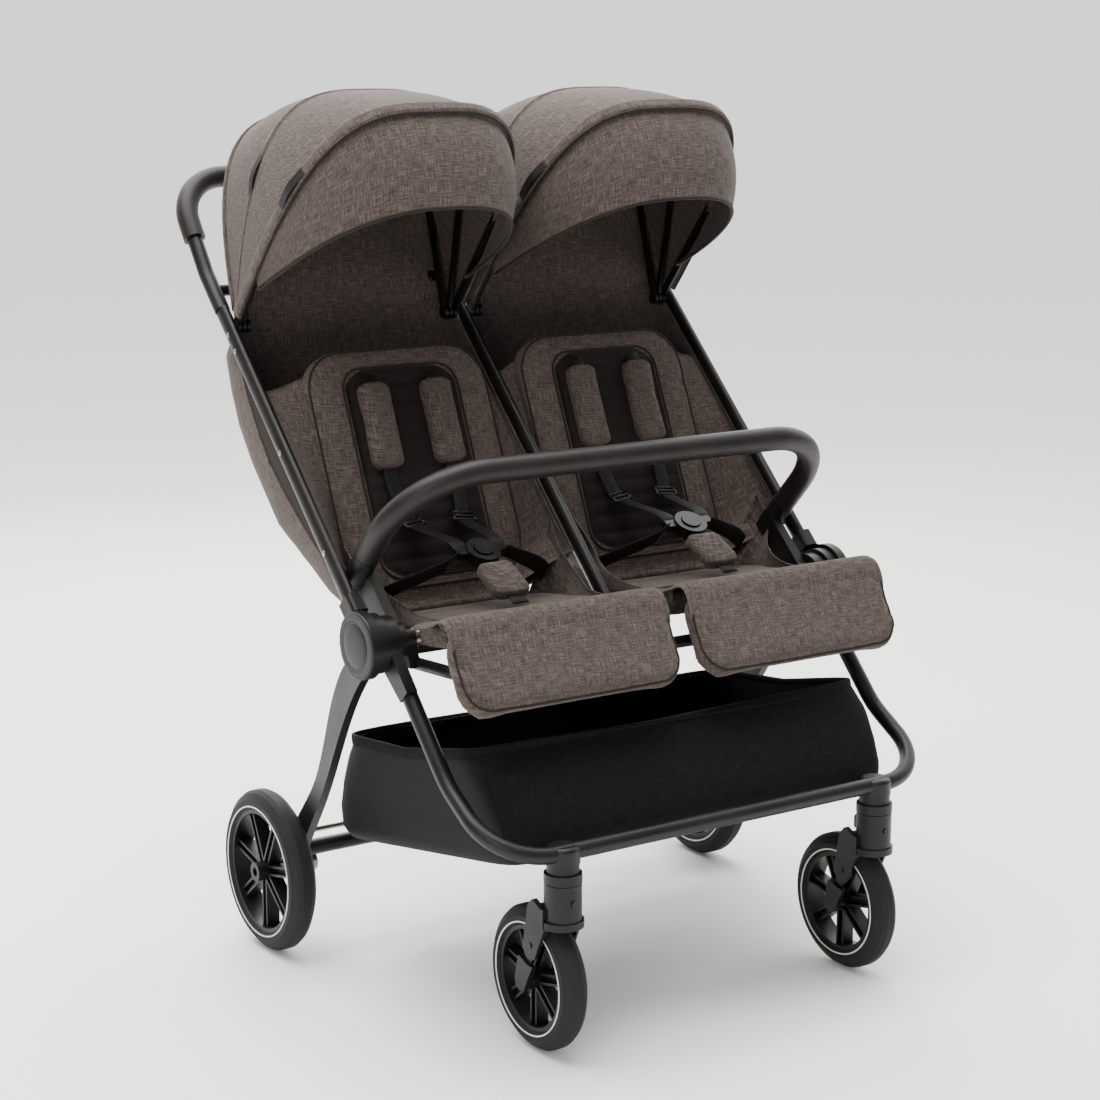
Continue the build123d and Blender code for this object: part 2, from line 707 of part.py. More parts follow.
strap_root = at(0, 34, 524)
buckle_place = at(0, -48, 566)
strap_length = (buckle_place - strap_root).length
strap_dir = (buckle_place - strap_root).normalized()
strap_out = Vector(0, -strap_dir.Z, strap_dir.Y)


def strap_plane(side, along):
    origin = Vector(side * seat_middle, strap_root.Y, strap_root.Z)
    return Plane(origin=origin + strap_dir * along, x_dir=(1, 0, 0), z_dir=strap_out)


def crotch_pad(side):
    return extrude(strap_plane(side, 36) * RectangleRounded(52, 62, 10), amount=8, both=True)


def buckle(side):
    plane = strap_plane(side, strap_length)
    body = extrude(plane * Circle(23), amount=8, both=True)
    for end in (-1, 1):
        body += extrude(plane * Pos(end * 27, 6) * RectangleRounded(20, 16, 3), amount=5, both=True)
    return body - extrude(plane * Circle(buckle_button_radius + gap), amount=9)


def buckle_button(side):
    disc = extrude(strap_plane(side, strap_length) * Circle(buckle_button_radius), amount=4)
    return Pos(*(strap_out * 6)) * disc


footrest_hinge = at(0, 126, 500)
footrest_down = Vector(0, -cos(radians(footrest_angle)), -sin(radians(footrest_angle)))
footrest_out = Vector(0, -sin(radians(footrest_angle)), cos(radians(footrest_angle)))


def footrest(side):
    """Calf support hanging from the seat's front edge."""
    middle = Vector(side * (footrest_inner + footrest_outer) / 2, footrest_hinge.Y, footrest_hinge.Z)
    middle += footrest_down * (footrest_length / 2 - footrest_overhang)
    middle += footrest_out * (footrest_thickness / 2 + 4)
    outline = RectangleRounded(footrest_outer - footrest_inner, footrest_length, 40)
    pad = extrude(Plane(origin=middle, x_dir=(1, 0, 0), z_dir=footrest_out) * outline,
                  amount=footrest_thickness / 2, both=True)
    rod = cross_disc(side * (seat_inner + 10), side * (seat_outer - 10), footrest_hinge, 5)
    return pad + rod


for name, side in SIDES.items():
    save(f"backrest_{name}", backrest(side))
    save(f"shoulder_pads_{name}", *shoulder_pads(side))
    save(f"crotch_pad_{name}", crotch_pad(side))
    save(f"buckle_{name}", buckle(side))
    save(f"buckle_button_{name}", buckle_button(side))
    save(f"footrest_{name}", footrest(side))


def seat_shell(side):
    """Fabric bucket behind and beside a backrest, hung from the main tubes."""
    inner, outer = oval_width / 2 + 3, tube_middle - 23
    profile = [(-112, 576), (-326, 790), (-362, 805), (-428, 775), (-400, 695), (-330, 625), (-262, 570),
               (-215, 520), (-190, 480), (-172, 458), (-121, 458), (-112, 500)]
    outline = side_outline(profile)
    shell = side_plate(inner, outer, outline, hub_point)
    shell -= side_plate(inner + fabric, outer - fabric, Pos(fabric, fabric) * outline, hub_point)
    return flip(shell, side)


save("seat_shells", *[seat_shell(s) for s in SIDES.values()])

os.makedirs("parts", exist_ok=True)
for name, shape in nodes.items():
    export_step(shape, f"parts/{name}.step")
print(len(nodes), "nodes")
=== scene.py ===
# %% [markdown]
# # A side-by-side twin stroller, dressed around its frame
# The frame, wheels, hinges and buttons come in as finished hard parts. What is left is what a sewing room
# adds: two hoods with visors, two hung seat buckets, padded backrests, seats and calf rests, harnesses,
# a basket, plus the trim that catches the light. Everything is in metres, +Z up, the front faces -Y.

import json
import math
import bmesh
import bpy
import numpy as np
from mathutils import Matrix, Vector
from mathutils.bvhtree import BVHTree


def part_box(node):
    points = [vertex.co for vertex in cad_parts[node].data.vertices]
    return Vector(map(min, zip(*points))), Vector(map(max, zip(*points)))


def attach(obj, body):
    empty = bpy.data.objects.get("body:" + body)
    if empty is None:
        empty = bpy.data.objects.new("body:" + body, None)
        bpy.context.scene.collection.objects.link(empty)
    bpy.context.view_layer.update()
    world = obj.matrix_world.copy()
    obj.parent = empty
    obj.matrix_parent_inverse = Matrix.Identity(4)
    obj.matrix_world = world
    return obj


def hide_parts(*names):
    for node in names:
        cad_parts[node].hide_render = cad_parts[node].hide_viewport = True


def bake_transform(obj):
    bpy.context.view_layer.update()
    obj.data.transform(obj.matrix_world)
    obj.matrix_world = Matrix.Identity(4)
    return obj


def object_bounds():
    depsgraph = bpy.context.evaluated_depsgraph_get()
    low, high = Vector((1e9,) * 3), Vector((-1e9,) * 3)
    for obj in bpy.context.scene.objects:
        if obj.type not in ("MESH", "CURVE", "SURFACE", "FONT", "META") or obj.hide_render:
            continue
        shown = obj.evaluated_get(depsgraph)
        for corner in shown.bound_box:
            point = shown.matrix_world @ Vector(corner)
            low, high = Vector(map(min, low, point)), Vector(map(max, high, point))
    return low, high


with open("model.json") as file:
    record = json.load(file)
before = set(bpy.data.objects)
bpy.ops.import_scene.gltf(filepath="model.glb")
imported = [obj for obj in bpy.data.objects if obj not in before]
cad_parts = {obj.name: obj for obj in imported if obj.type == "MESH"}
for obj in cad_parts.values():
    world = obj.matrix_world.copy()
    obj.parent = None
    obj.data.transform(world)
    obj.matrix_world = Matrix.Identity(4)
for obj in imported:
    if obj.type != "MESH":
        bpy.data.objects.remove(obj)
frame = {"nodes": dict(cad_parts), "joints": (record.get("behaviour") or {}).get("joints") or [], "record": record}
scene = bpy.context.scene
frame_low, frame_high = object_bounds()
joints = {joint["name"]: joint for joint in frame["joints"]}
SIDES = {"left": 1, "right": -1}
mm = 0.001
print("frame size", [round(v, 3) for v in frame_high - frame_low], "with", len(frame["nodes"]), "nodes")

# %% [markdown]
# ## Places on the frame
# All the side-view places are counted from the hub, the axis that the frame folds about: how far forward of
# it and how high above the ground. The joints of the frame already know where the hub, the hood pivots and
# the hinges are, so every place below starts from one of them.

# %% Places worked out from the joints
hub = Vector(joints["fold"]["pos_m"])
hood_pivot = Vector(joints["canopy_left"]["pos_m"])
back_hinge = Vector(joints["recline_left"]["pos_m"])
calf_hinge = Vector(joints["footrest_left"]["pos_m"])
strap_root = Vector(joints["harness_lay_left"]["pos_m"])
seat_middle = back_hinge.x
hood_middle = hood_pivot.x
tube_run = Vector((0, hood_pivot.y - hub.y, hood_pivot.z - hub.z))
tube_reach = tube_run.length
tube_dir = tube_run.normalized()
tube_back = Vector((0, tube_dir.z, -tube_dir.y))       # square to the main tube, backwards and down


def at(x, forward, height):
    """A point from millimetres: sideways, forward of the hub, above the ground."""
    return np.array([x * mm, hub.y - forward * mm, height * mm])


def on_tube(x, distance, depth=0):
    """A point beside the main tube: millimetres from the hub along it, and behind it."""
    point = hub + tube_dir * distance * mm + tube_back * depth * mm
    return np.array([x * mm, point.y, point.z])


print("hood pivots", round(tube_reach / mm), "mm up the main tube, at", [round(v, 3) for v in hood_pivot])

# %% [markdown]
# ## Camera, floor and light
# A long lens from a little above the seats, from the front right of the stroller. A soft pale studio: a wide
# key light overhead and to the left, a weaker fill from the right and a strip behind for the outlines.

# %% Camera
view_turn = math.radians(33.68)
view_drop = math.radians(11.75)
view_distance = 3.222
view_aim = (frame_low + frame_high) / 2 + Vector((-0.0125, 0, -0.0331))
view_forward = Vector((math.sin(view_turn) * math.cos(view_drop), math.cos(view_turn) * math.cos(view_drop),
                       -math.sin(view_drop)))
camera = bpy.data.objects.new("camera", bpy.data.cameras.new("camera"))
scene.collection.objects.link(camera)
camera.location = view_aim - view_forward * view_distance
camera.rotation_euler = view_forward.to_track_quat("-Z", "Y").to_euler()
camera.data.sensor_width = 36
camera.data.lens = 78.15
scene.camera = camera
print("camera at", [round(v, 3) for v in camera.location])


# %% One colour function and one node function
def srgb(hex_colour, alpha=1.0):
    """An sRGB hex colour as the linear numbers that a shader socket holds."""
    parts = [int(hex_colour[i:i + 2], 16) / 255 for i in (1, 3, 5)]
    return (*[c / 12.92 if c <= 0.04045 else ((c + 0.055) / 1.055) ** 2.4 for c in parts], alpha)


def add(tree, kind, inputs=(), **settings):
    """Add a node: settings are its own properties, inputs are values or other nodes' sockets."""
    node = tree.nodes.new(kind)
    for key, value in settings.items():
        setattr(node, key, value)
    for key, value in dict(inputs).items():
        if isinstance(value, bpy.types.NodeSocket):
            tree.links.new(value, node.inputs[key])
        else:
            node.inputs[key].default_value = value
    return node


def new_material(name, **sockets):
    """A material with one Principled shader, whose plain sockets are set straight on it."""
    made = bpy.data.materials.new(name)
    made.use_nodes = True
    tree = made.node_tree
    tree.nodes.clear()
    shader = add(tree, "ShaderNodeBsdfPrincipled", sockets)
    add(tree, "ShaderNodeOutputMaterial", {"Surface": shader.outputs["BSDF"]})
    return made, tree, shader


def wire(tree, shader, **links):
    for name, socket in links.items():
        tree.links.new(socket, shader.inputs[name.replace("_", " ")])


# %% Floor and studio light
def area_light(name, place, aim, size, power, colour="#ffffff"):
    light = bpy.data.objects.new(name, bpy.data.lights.new(name, "AREA"))
    scene.collection.objects.link(light)
    light.data.size, light.data.energy, light.data.color = size, power, srgb(colour)[:3]
    light.location = place
    light.rotation_euler = (Vector(aim) - Vector(place)).to_track_quat("-Z", "Y").to_euler()


def disc(name, radius, height, sides=96):
    mesh = bpy.data.meshes.new(name)
    turn = [2 * math.pi * k / sides for k in range(sides)]
    mesh.from_pydata([(radius * math.cos(t), radius * math.sin(t), height) for t in turn], [], [list(range(sides))])
    made = bpy.data.objects.new(name, mesh)
    scene.collection.objects.link(made)
    return made


floor = disc("studio_floor", 30, -0.0005)
floor_paint, floor_tree, floor_shader = new_material("matte_white_floor_paint", Roughness=0.9)
floor_grain = add(floor_tree, "ShaderNodeTexNoise", {"Scale": 2.0, "Detail": 2.0})
floor_tint = add(floor_tree, "ShaderNodeValToRGB", {"Fac": floor_grain.outputs["Fac"]})
floor_tint.color_ramp.elements[0].color = srgb("#f4f3f1")
floor_tint.color_ramp.elements[1].color = srgb("#fbfaf9")
wire(floor_tree, floor_shader, Base_Color=floor_tint.outputs["Color"])
floor.data.materials.append(floor_paint)

world = bpy.data.worlds.new("studio")
world.use_nodes = True
sky = world.node_tree
sky.nodes.clear()
# a lit wall behind the stroller that fades towards the floor, and a dimmer room behind the camera
wall_way = (math.sin(view_turn), math.cos(view_turn), 0.15)
towards_wall = add(sky, "ShaderNodeVectorMath", {0: add(sky, "ShaderNodeTexCoord").outputs["Generated"],
                                                 1: wall_way}, operation="DOT_PRODUCT")
wall_light = add(sky, "ShaderNodeMapRange", {"Value": towards_wall.outputs["Value"], "From Min": 0.1,
                                             "From Max": 0.9, "To Min": 0.6, "To Max": 4.0},
                 interpolation_type="SMOOTHSTEP")
height = add(sky, "ShaderNodeSeparateXYZ", {"Vector": add(sky, "ShaderNodeTexCoord").outputs["Generated"]})
fade = add(sky, "ShaderNodeMapRange", {"Value": height.outputs["Z"], "From Min": 0.05, "From Max": 0.3,
                                       "To Min": 0.36, "To Max": 1.0})
strength = add(sky, "ShaderNodeMath", {0: wall_light.outputs["Result"], 1: fade.outputs["Result"]},
               operation="MULTIPLY")
wall = add(sky, "ShaderNodeBackground", {"Color": srgb("#ffffff"), "Strength": strength.outputs["Value"]})
add(sky, "ShaderNodeOutputWorld", {"Surface": wall.outputs["Background"]})
scene.world = world
area_light("overhead", (-0.5, 0.4, 3.8), (0, 0, 0.2), 3.6, 330, "#fffdfa")
area_light("front", (-2.6, -2.2, 1.7), (0, 0, 0.6), 1.2, 30, "#fffaf4")
area_light("rim", (0.9, 2.6, 2.0), (0, 0, 0.7), 1.6, 60)
print("studio ready")

# %% [markdown]
# ## Hard finishes
# Five finishes cover the hard parts. Powder coat is a baked plastic skin on aluminium: nearly black, with an
# orange-peel ripple well under a millimetre wide. Moulded polypropylene has a spark-eroded grain and is a
# little shinier on worn high spots. The grip is a sewn polyurethane leather. Tyres are closed-cell foam rubber,
# almost without gloss. Steel shows only at axles and screws.


# %% Grain for hard finishes
def grained(name, dark, light, roughness, grain_mm, depth, patch_mm=60, **sockets):
    """A hard finish: two close colours in soft patches, uneven gloss, and a fine bump of the given grain."""
    made, tree, shader = new_material(name, **{"Specular IOR Level": 0.3, **sockets})
    place = add(tree, "ShaderNodeTexCoord").outputs["Object"]
    patches = add(tree, "ShaderNodeTexNoise", {"Vector": place, "Scale": 1 / (patch_mm * mm), "Detail": 3.0})
    grain = add(tree, "ShaderNodeTexNoise", {"Vector": place, "Scale": 1 / (grain_mm * mm), "Detail": 2.0,
                                             "Roughness": 0.6})
    tint = add(tree, "ShaderNodeValToRGB", {"Fac": patches.outputs["Fac"]})
    tint.color_ramp.elements[0].position, tint.color_ramp.elements[1].position = 0.35, 0.68
    tint.color_ramp.elements[0].color, tint.color_ramp.elements[1].color = srgb(dark), srgb(light)
    gloss = add(tree, "ShaderNodeMapRange", {"Value": patches.outputs["Fac"], "From Min": 0.3, "From Max": 0.7,
                                             "To Min": roughness - 0.05, "To Max": roughness + 0.06})
    bump = add(tree, "ShaderNodeBump", {"Height": grain.outputs["Fac"], "Strength": 0.5, "Distance": depth * mm})
    wire(tree, shader, Base_Color=tint.outputs["Color"], Roughness=gloss.outputs["Result"],
         Normal=bump.outputs["Normal"])
    return made


# powder-coated aluminium: baked on, so edges are soft and the gloss is satin (grain drawn at 0.7 mm to show)
powder_coat = grained("powder_coated_aluminium", "#0b0a09", "#110f0e", 0.40, 0.7, 0.03)
# moulded polypropylene: spark-eroded mould grain, slightly duller than the coat
moulded_black = grained("moulded_polypropylene", "#090808", "#0f0e0d", 0.46, 0.9, 0.05)
# glossy moulded nylon for buckle and buttons
buckle_nylon = grained("moulded_nylon", "#080707", "#0c0b0b", 0.30, 0.8, 0.02)
# ground steel of axles and screws: bare metal, fine scratches
steel = grained("ground_steel", "#8d8a86", "#a19e9a", 0.32, 0.5, 0.01, Metallic=1.0)
# closed-cell foam rubber of the tyres: no gloss, faint dust on the high spots
foam_rubber = grained("foam_rubber_tyre", "#11100f", "#1a1817", 0.72, 1.1, 0.06)
# white reflective ring printed into the rim's groove
ring_paint = grained("white_ring_paint", "#c9c6c0", "#dcdad4", 0.45, 0.8, 0.01)
print("hard finishes:", [m.name for m in (powder_coat, moulded_black, buckle_nylon, steel, foam_rubber)])


# %% Sewn leather for grip and bumper
def sewn_leather(name, dark, light):
    """Polyurethane leather: pebbled cells about 1.6 mm across, dark brown-black, satin."""
    made, tree, shader = new_material(name, **{"Specular IOR Level": 0.3})
    place = add(tree, "ShaderNodeTexCoord").outputs["Object"]
    cells = add(tree, "ShaderNodeTexVoronoi", {"Vector": place, "Scale": 1 / (1.6 * mm), "Randomness": 0.9},
                feature="SMOOTH_F1")
    patches = add(tree, "ShaderNodeTexNoise", {"Vector": place, "Scale": 1 / (45 * mm), "Detail": 4.0})
    tint = add(tree, "ShaderNodeValToRGB", {"Fac": patches.outputs["Fac"]})
    tint.color_ramp.elements[0].position, tint.color_ramp.elements[1].position = 0.35, 0.7
    tint.color_ramp.elements[0].color, tint.color_ramp.elements[1].color = srgb(dark), srgb(light)
    gloss = add(tree, "ShaderNodeMapRange", {"Value": cells.outputs["Distance"], "From Max": 0.8,
                                             "To Min": 0.38, "To Max": 0.56})
    bump = add(tree, "ShaderNodeBump", {"Height": cells.outputs["Distance"], "Strength": 0.35,
                                        "Distance": 0.18 * mm, }, invert=True)
    wire(tree, shader, Base_Color=tint.outputs["Color"], Roughness=gloss.outputs["Result"],
         Normal=bump.outputs["Normal"])
    return made


grip_leather = sewn_leather("polyurethane_leather", "#110d0c", "#191412")

# %% [markdown]
# ## Cloth finishes
# The seat cloth is a melange: yarns spun from several browns and woven plain, so the eye sees short streaks
# both ways, like linen. Each sewn piece carries a UV map in metres, called weave, so that the threads run
# along the piece. Streaks are drawn 1.5 mm wide and up to 20 mm long, coarser than the real yarn, because
# the real yarn would vanish at this distance.


# %% Woven melange
def melange(name, dark, middle, light, streak_mm=1.15, run_mm=19, depth=0.28, roughness=0.9, sheen=0.08):
    made, tree, shader = new_material(name, **{"Roughness": roughness, "Sheen Weight": sheen,
                                               "Sheen Roughness": 0.5, "Specular IOR Level": 0.15})
    weave = add(tree, "ShaderNodeUVMap", uv_map="weave").outputs["UV"]
    streaks = []
    for across, along in ((run_mm, streak_mm), (streak_mm, run_mm)):
        stretch = add(tree, "ShaderNodeMapping", {"Vector": weave,
                                                  "Scale": (1 / (across * mm), 1 / (along * mm), 1)})
        streaks.append(add(tree, "ShaderNodeTexNoise", {"Vector": stretch.outputs["Vector"], "Scale": 1.0,
                                                        "Detail": 2.5, "Roughness": 0.62}))
    crossed = add(tree, "ShaderNodeMath", {0: streaks[0].outputs["Fac"], 1: streaks[1].outputs["Fac"]},
                  operation="ADD")
    shade = add(tree, "ShaderNodeMapRange", {"Value": crossed.outputs["Value"], "From Min": 0.62,
                                             "From Max": 1.38})
    tint = add(tree, "ShaderNodeValToRGB", {"Fac": shade.outputs["Result"]})
    tint.color_ramp.elements[0].color, tint.color_ramp.elements[1].color = srgb(dark), srgb(light)
    tint.color_ramp.elements[0].position, tint.color_ramp.elements[1].position = 0.15, 0.88
    tint.color_ramp.elements.new(0.5).color = srgb(middle)
    threads = add(tree, "ShaderNodeTexNoise", {"Vector": weave, "Scale": 1 / (0.9 * mm), "Detail": 1.0})
    height = add(tree, "ShaderNodeMath", {0: crossed.outputs["Value"], 1: threads.outputs["Fac"]},
                 operation="ADD")
    bump = add(tree, "ShaderNodeBump", {"Height": height.outputs["Value"], "Strength": 0.6,
                                        "Distance": depth * mm})
    wire(tree, shader, Base_Color=tint.outputs["Color"], Normal=bump.outputs["Normal"])
    return made


seat_cloth = melange("brown_melange_polyester", "#2a2422", "#473e3a", "#675c57")
basket_cloth = melange("charcoal_melange_polyester", "#080708", "#0f0e0f", "#1a191a", sheen=0.0)
binding = melange("woven_edge_binding", "#171311", "#221c1a", "#302926", streak_mm=0.9, run_mm=4, depth=0.2)


# %% Ribbed mesh, webbing and thread
def ribbed(name, dark, light, pitch_mm, turned=False, depth=0.3, roughness=0.7):
    """Cloth with one strong rib direction: knitted air mesh or narrow webbing."""
    made, tree, shader = new_material(name, **{"Roughness": roughness, "Specular IOR Level": 0.15})
    weave = add(tree, "ShaderNodeUVMap", uv_map="weave").outputs["UV"]
    ribs = add(tree, "ShaderNodeTexWave", {"Vector": weave, "Scale": 0.314 / (pitch_mm * mm), "Distortion": 0.6,
                                           "Detail": 1.0, "Detail Scale": 3.0},
               bands_direction="Y" if turned else "X")
    flecks = add(tree, "ShaderNodeTexNoise", {"Vector": weave, "Scale": 1 / (1.4 * mm), "Detail": 2.0})
    mixed = add(tree, "ShaderNodeMath", {0: ribs.outputs["Fac"], 1: flecks.outputs["Fac"]}, operation="MULTIPLY")
    tint = add(tree, "ShaderNodeValToRGB", {"Fac": mixed.outputs["Value"]})
    tint.color_ramp.elements[0].color, tint.color_ramp.elements[1].color = srgb(dark), srgb(light)
    tint.color_ramp.elements[1].position = 0.6
    bump = add(tree, "ShaderNodeBump", {"Height": mixed.outputs["Value"], "Strength": 0.7,
                                        "Distance": depth * mm})
    wire(tree, shader, Base_Color=tint.outputs["Color"], Normal=bump.outputs["Normal"])
    return made


air_mesh = ribbed("knitted_air_mesh", "#15110f", "#3a322e", 2.6)
inset_mesh = ribbed("dark_spacer_mesh", "#0e0b0a", "#241e1b", 2.2, turned=True)
webbing = ribbed("polyester_webbing", "#0c0b0b", "#1d1b1b", 1.8, turned=True, roughness=0.55)
basket_mesh = ribbed("black_basket_mesh", "#070707", "#141314", 2.0)
thread = melange("sewing_thread", "#1b1614", "#453d38", "#5c524c", streak_mm=0.5, run_mm=1.0)
print("cloth finishes:", [m.name for m in (seat_cloth, basket_cloth, air_mesh, webbing)])

# %% Finishes of the hard parts, by their slot
finish_of_slot = {"coated_aluminium": powder_coat, "axle_steel": steel, "hard_plastic": moulded_black,
                  "leatherette": grip_leather, "tyre_foam": foam_rubber, "seat_fabric": seat_cloth,
                  "basket_fabric": basket_cloth}
slot_of_node = {part["node"]: part["material_slot"] for part in frame["record"]["subparts"]}
for name, node in frame["nodes"].items():
    finish = finish_of_slot[slot_of_node[name]]
    if name.startswith(("buckle", "caster_release", "swivel_lock", "fold_button")):
        finish = buckle_nylon
    node.data.materials.clear()
    node.data.materials.append(finish)
print("finished", len(frame["nodes"]), "hard nodes")

# %% [markdown]
# ## Sewing tools
# Three shapes make nearly every soft piece. A `panel` is cloth drawn as rows of points and given a thickness.
# A `sweep` runs a small section along a path, for piping, hems, webbing and straps. A `cushion` takes a hard
# pad from the frame, gives it a skin and inflates it with the cloth solver until its faces swell.
# Every piece gets a UV map named weave, in metres, so that threads are the same size everywhere.


# %% Mesh from arrays
def make_object(name, vertices, faces, finish, weave=None, smooth=True):
    mesh = bpy.data.meshes.new(name)
    mesh.from_pydata([tuple(v) for v in vertices], [], [tuple(f) for f in faces])
    mesh.polygons.foreach_set("use_smooth", [smooth] * len(mesh.polygons))
    if weave is not None:
        layer = mesh.uv_layers.new(name="weave")
        layer.data.foreach_set("uv", np.asarray(weave, dtype=float).ravel())
    mesh.materials.append(finish)
    mesh.update()
    made = bpy.data.objects.new(name, mesh)
    scene.collection.objects.link(made)
    return made


def length_along(points, axis):
    """Running length along one axis of a grid of points."""
    steps = np.linalg.norm(np.diff(points, axis=axis), axis=-1)
    start = np.zeros_like(np.take(steps, [0], axis=axis))
    return np.concatenate([start, np.cumsum(steps, axis=axis)], axis=axis)


def grid_normals(points, closed=False):
    if closed:
        across = np.roll(points, -1, axis=1) - np.roll(points, 1, axis=1)
    else:
        across = np.gradient(points, axis=1)
    normals = np.cross(across, np.gradient(points, axis=0))
    return normals / np.maximum(np.linalg.norm(normals, axis=-1, keepdims=True), 1e-9)


def panel(name, points, finish, inside, thickness=1.6, closed=False):
    """Cloth through rows of points. It grows inwards, towards the point inside. closed joins last column to first."""
    points = np.asarray(points, dtype=float)
    normals = grid_normals(points, closed)
    if (normals * (points - np.asarray(inside))).sum() < 0:
        points, normals = points[:, ::-1], -grid_normals(points, closed)[:, ::-1]
    rows, cols = points.shape[:2]
    skins = np.stack([points, points - normals * thickness * mm])
    across = length_along(points, 1)
    across = across - across[:, cols // 2][:, None]
    down = length_along(points, 0)
    down = np.repeat(down[:, cols // 2][:, None], cols, axis=1)
    if closed:
        wrap = across[:, -1] + np.linalg.norm(points[:, -1] - points[:, 0], axis=-1)
    index = lambda skin, r, c: skin * rows * cols + r * cols + c % cols
    faces, weave = [], []

    def uv(r, c):
        return (wrap[r] if c == cols else across[r, c], down[r, c % cols])

    spans = cols if closed else cols - 1
    for r in range(rows - 1):
        for c in range(spans):
            ring = [(r, c), (r + 1, c), (r + 1, c + 1), (r, c + 1)]
            faces.append([index(0, *p) for p in reversed(ring)])
            weave += [uv(*p) for p in reversed(ring)]
            faces.append([index(1, *p) for p in ring])
            weave += [uv(*p) for p in ring]
    border = [((0, c), (0, c + 1)) for c in range(spans)]
    border += [((rows - 1, c + 1), (rows - 1, c)) for c in range(spans)]
    if not closed:
        border += [((r + 1, 0), (r, 0)) for r in range(rows - 1)]
        border += [((r, cols - 1), (r + 1, cols - 1)) for r in range(rows - 1)]
    for a, b in border:
        faces.append([index(0, *a), index(1, *a), index(1, *b), index(0, *b)][::-1])
        weave += [uv(*a), uv(*a), uv(*b), uv(*b)][::-1]
    made = make_object(name, skins.reshape(-1, 3), faces, finish, weave)
    flip_if_inside_out(made)
    return made


def flip_if_inside_out(made):
    """A closed mesh has a positive volume when its normals point out."""
    work = bmesh.new()
    work.from_mesh(made.data)
    if work.calc_volume(signed=True) < 0:
        bmesh.ops.reverse_faces(work, faces=work.faces)
    work.to_mesh(made.data)
    work.free()


# %% Paths and sweeps
def smooth_path(points, count, closed=False):
    """A Catmull-Rom curve through the points, resampled to count points of equal spacing."""
    points = np.asarray(points, dtype=float)
    if closed:
        padded_points = np.vstack([points[-1], points, points[:2]])
    else:
        padded_points = np.vstack([2 * points[0] - points[1], points, 2 * points[-1] - points[-2]])
    fine = []
    for k in range(1, len(padded_points) - 2):
        p0, p1, p2, p3 = padded_points[k - 1:k + 3]
        for t in np.linspace(0, 1, 16, endpoint=False):
            fine.append(0.5 * (2 * p1 + (p2 - p0) * t + (2 * p0 - 5 * p1 + 4 * p2 - p3) * t ** 2
                               + (3 * p1 - p0 - 3 * p2 + p3) * t ** 3))
    fine.append(padded_points[-2])
    return resample(np.array(fine), count, closed)


def resample(points, count, closed=False):
    lengths = length_along(points, 0)
    wanted = np.linspace(0, lengths[-1], count + 1 if closed else count)
    if closed:
        wanted = wanted[:-1]
    return np.stack([np.interp(wanted, lengths, points[:, k]) for k in range(3)], axis=1)


def round_section(width, height, sides=10, power=1.0):
    turn = np.linspace(0, 2 * math.pi, sides, endpoint=False)
    c, s = np.cos(turn), np.sin(turn)
    return np.stack([width / 2 * np.sign(c) * np.abs(c) ** power, height / 2 * np.sign(s) * np.abs(s) ** power], 1)


def sweep(name, path, section, finish, across=(1, 0, 0), closed=False):
    """Run a section of (along across, square to it) millimetre points down a path."""
    path = np.asarray(path, dtype=float)
    forward = np.roll(path, -1, 0) - np.roll(path, 1, 0) if closed else np.gradient(path, axis=0)
    forward /= np.linalg.norm(forward, axis=1, keepdims=True)
    across = np.broadcast_to(np.asarray(across, dtype=float), path.shape)
    side = across - forward * (across * forward).sum(1, keepdims=True)
    side /= np.maximum(np.linalg.norm(side, axis=1, keepdims=True), 1e-6)
    up = np.cross(side, forward)
    rows, sides = len(path), len(section)
    ring = (path[:, None] + side[:, None] * section[None, :, :1] * mm + up[:, None] * section[None, :, 1:] * mm)
    around = length_along(np.vstack([section, section[:1]]) * mm, 0)
    along = length_along(path, 0)
    step = np.linalg.norm(path[-1] - path[0])
    faces, weave = [], []
    for r in range(rows if closed else rows - 1):
        for c in range(sides):
            q = (r + 1) % rows
            d = (c + 1) % sides
            faces.append([r * sides + c, r * sides + d, q * sides + d, q * sides + c])
            far = along[r] + step if closed and r == rows - 1 else along[q]
            weave += [(around[c], along[r]), (around[c + 1], along[r]), (around[c + 1], far), (around[c], far)]
    if not closed:
        faces += [list(range(sides))[::-1], [(rows - 1) * sides + c for c in range(sides)]]
        weave += [(around[c], 0) for c in range(sides)] * 2
    made = make_object(name, ring.reshape(-1, 3), faces, finish, weave)
    flip_if_inside_out(made)
    return made


def join(name, *pieces):
    """One mesh from several, keeping their materials."""
    first = pieces[0]
    with bpy.context.temp_override(active_object=first, selected_editable_objects=list(pieces)):
        if len(pieces) > 1:
            bpy.ops.object.join()
    first.name = first.data.name = name
    return first


def mirrored(made, name):
    """The same piece on the other side of the middle plane."""
    mesh = made.data.copy()
    mesh.name = name
    mesh.transform(Matrix.Diagonal((-1, 1, 1, 1)))
    mesh.flip_normals()
    copy = bpy.data.objects.new(name, mesh)
    scene.collection.objects.link(copy)
    return copy


STRAP = round_section(24, 1.6, 8, 0.4)
PIPING = round_section(3.4, 3.4, 8)
print("sewing tools ready")
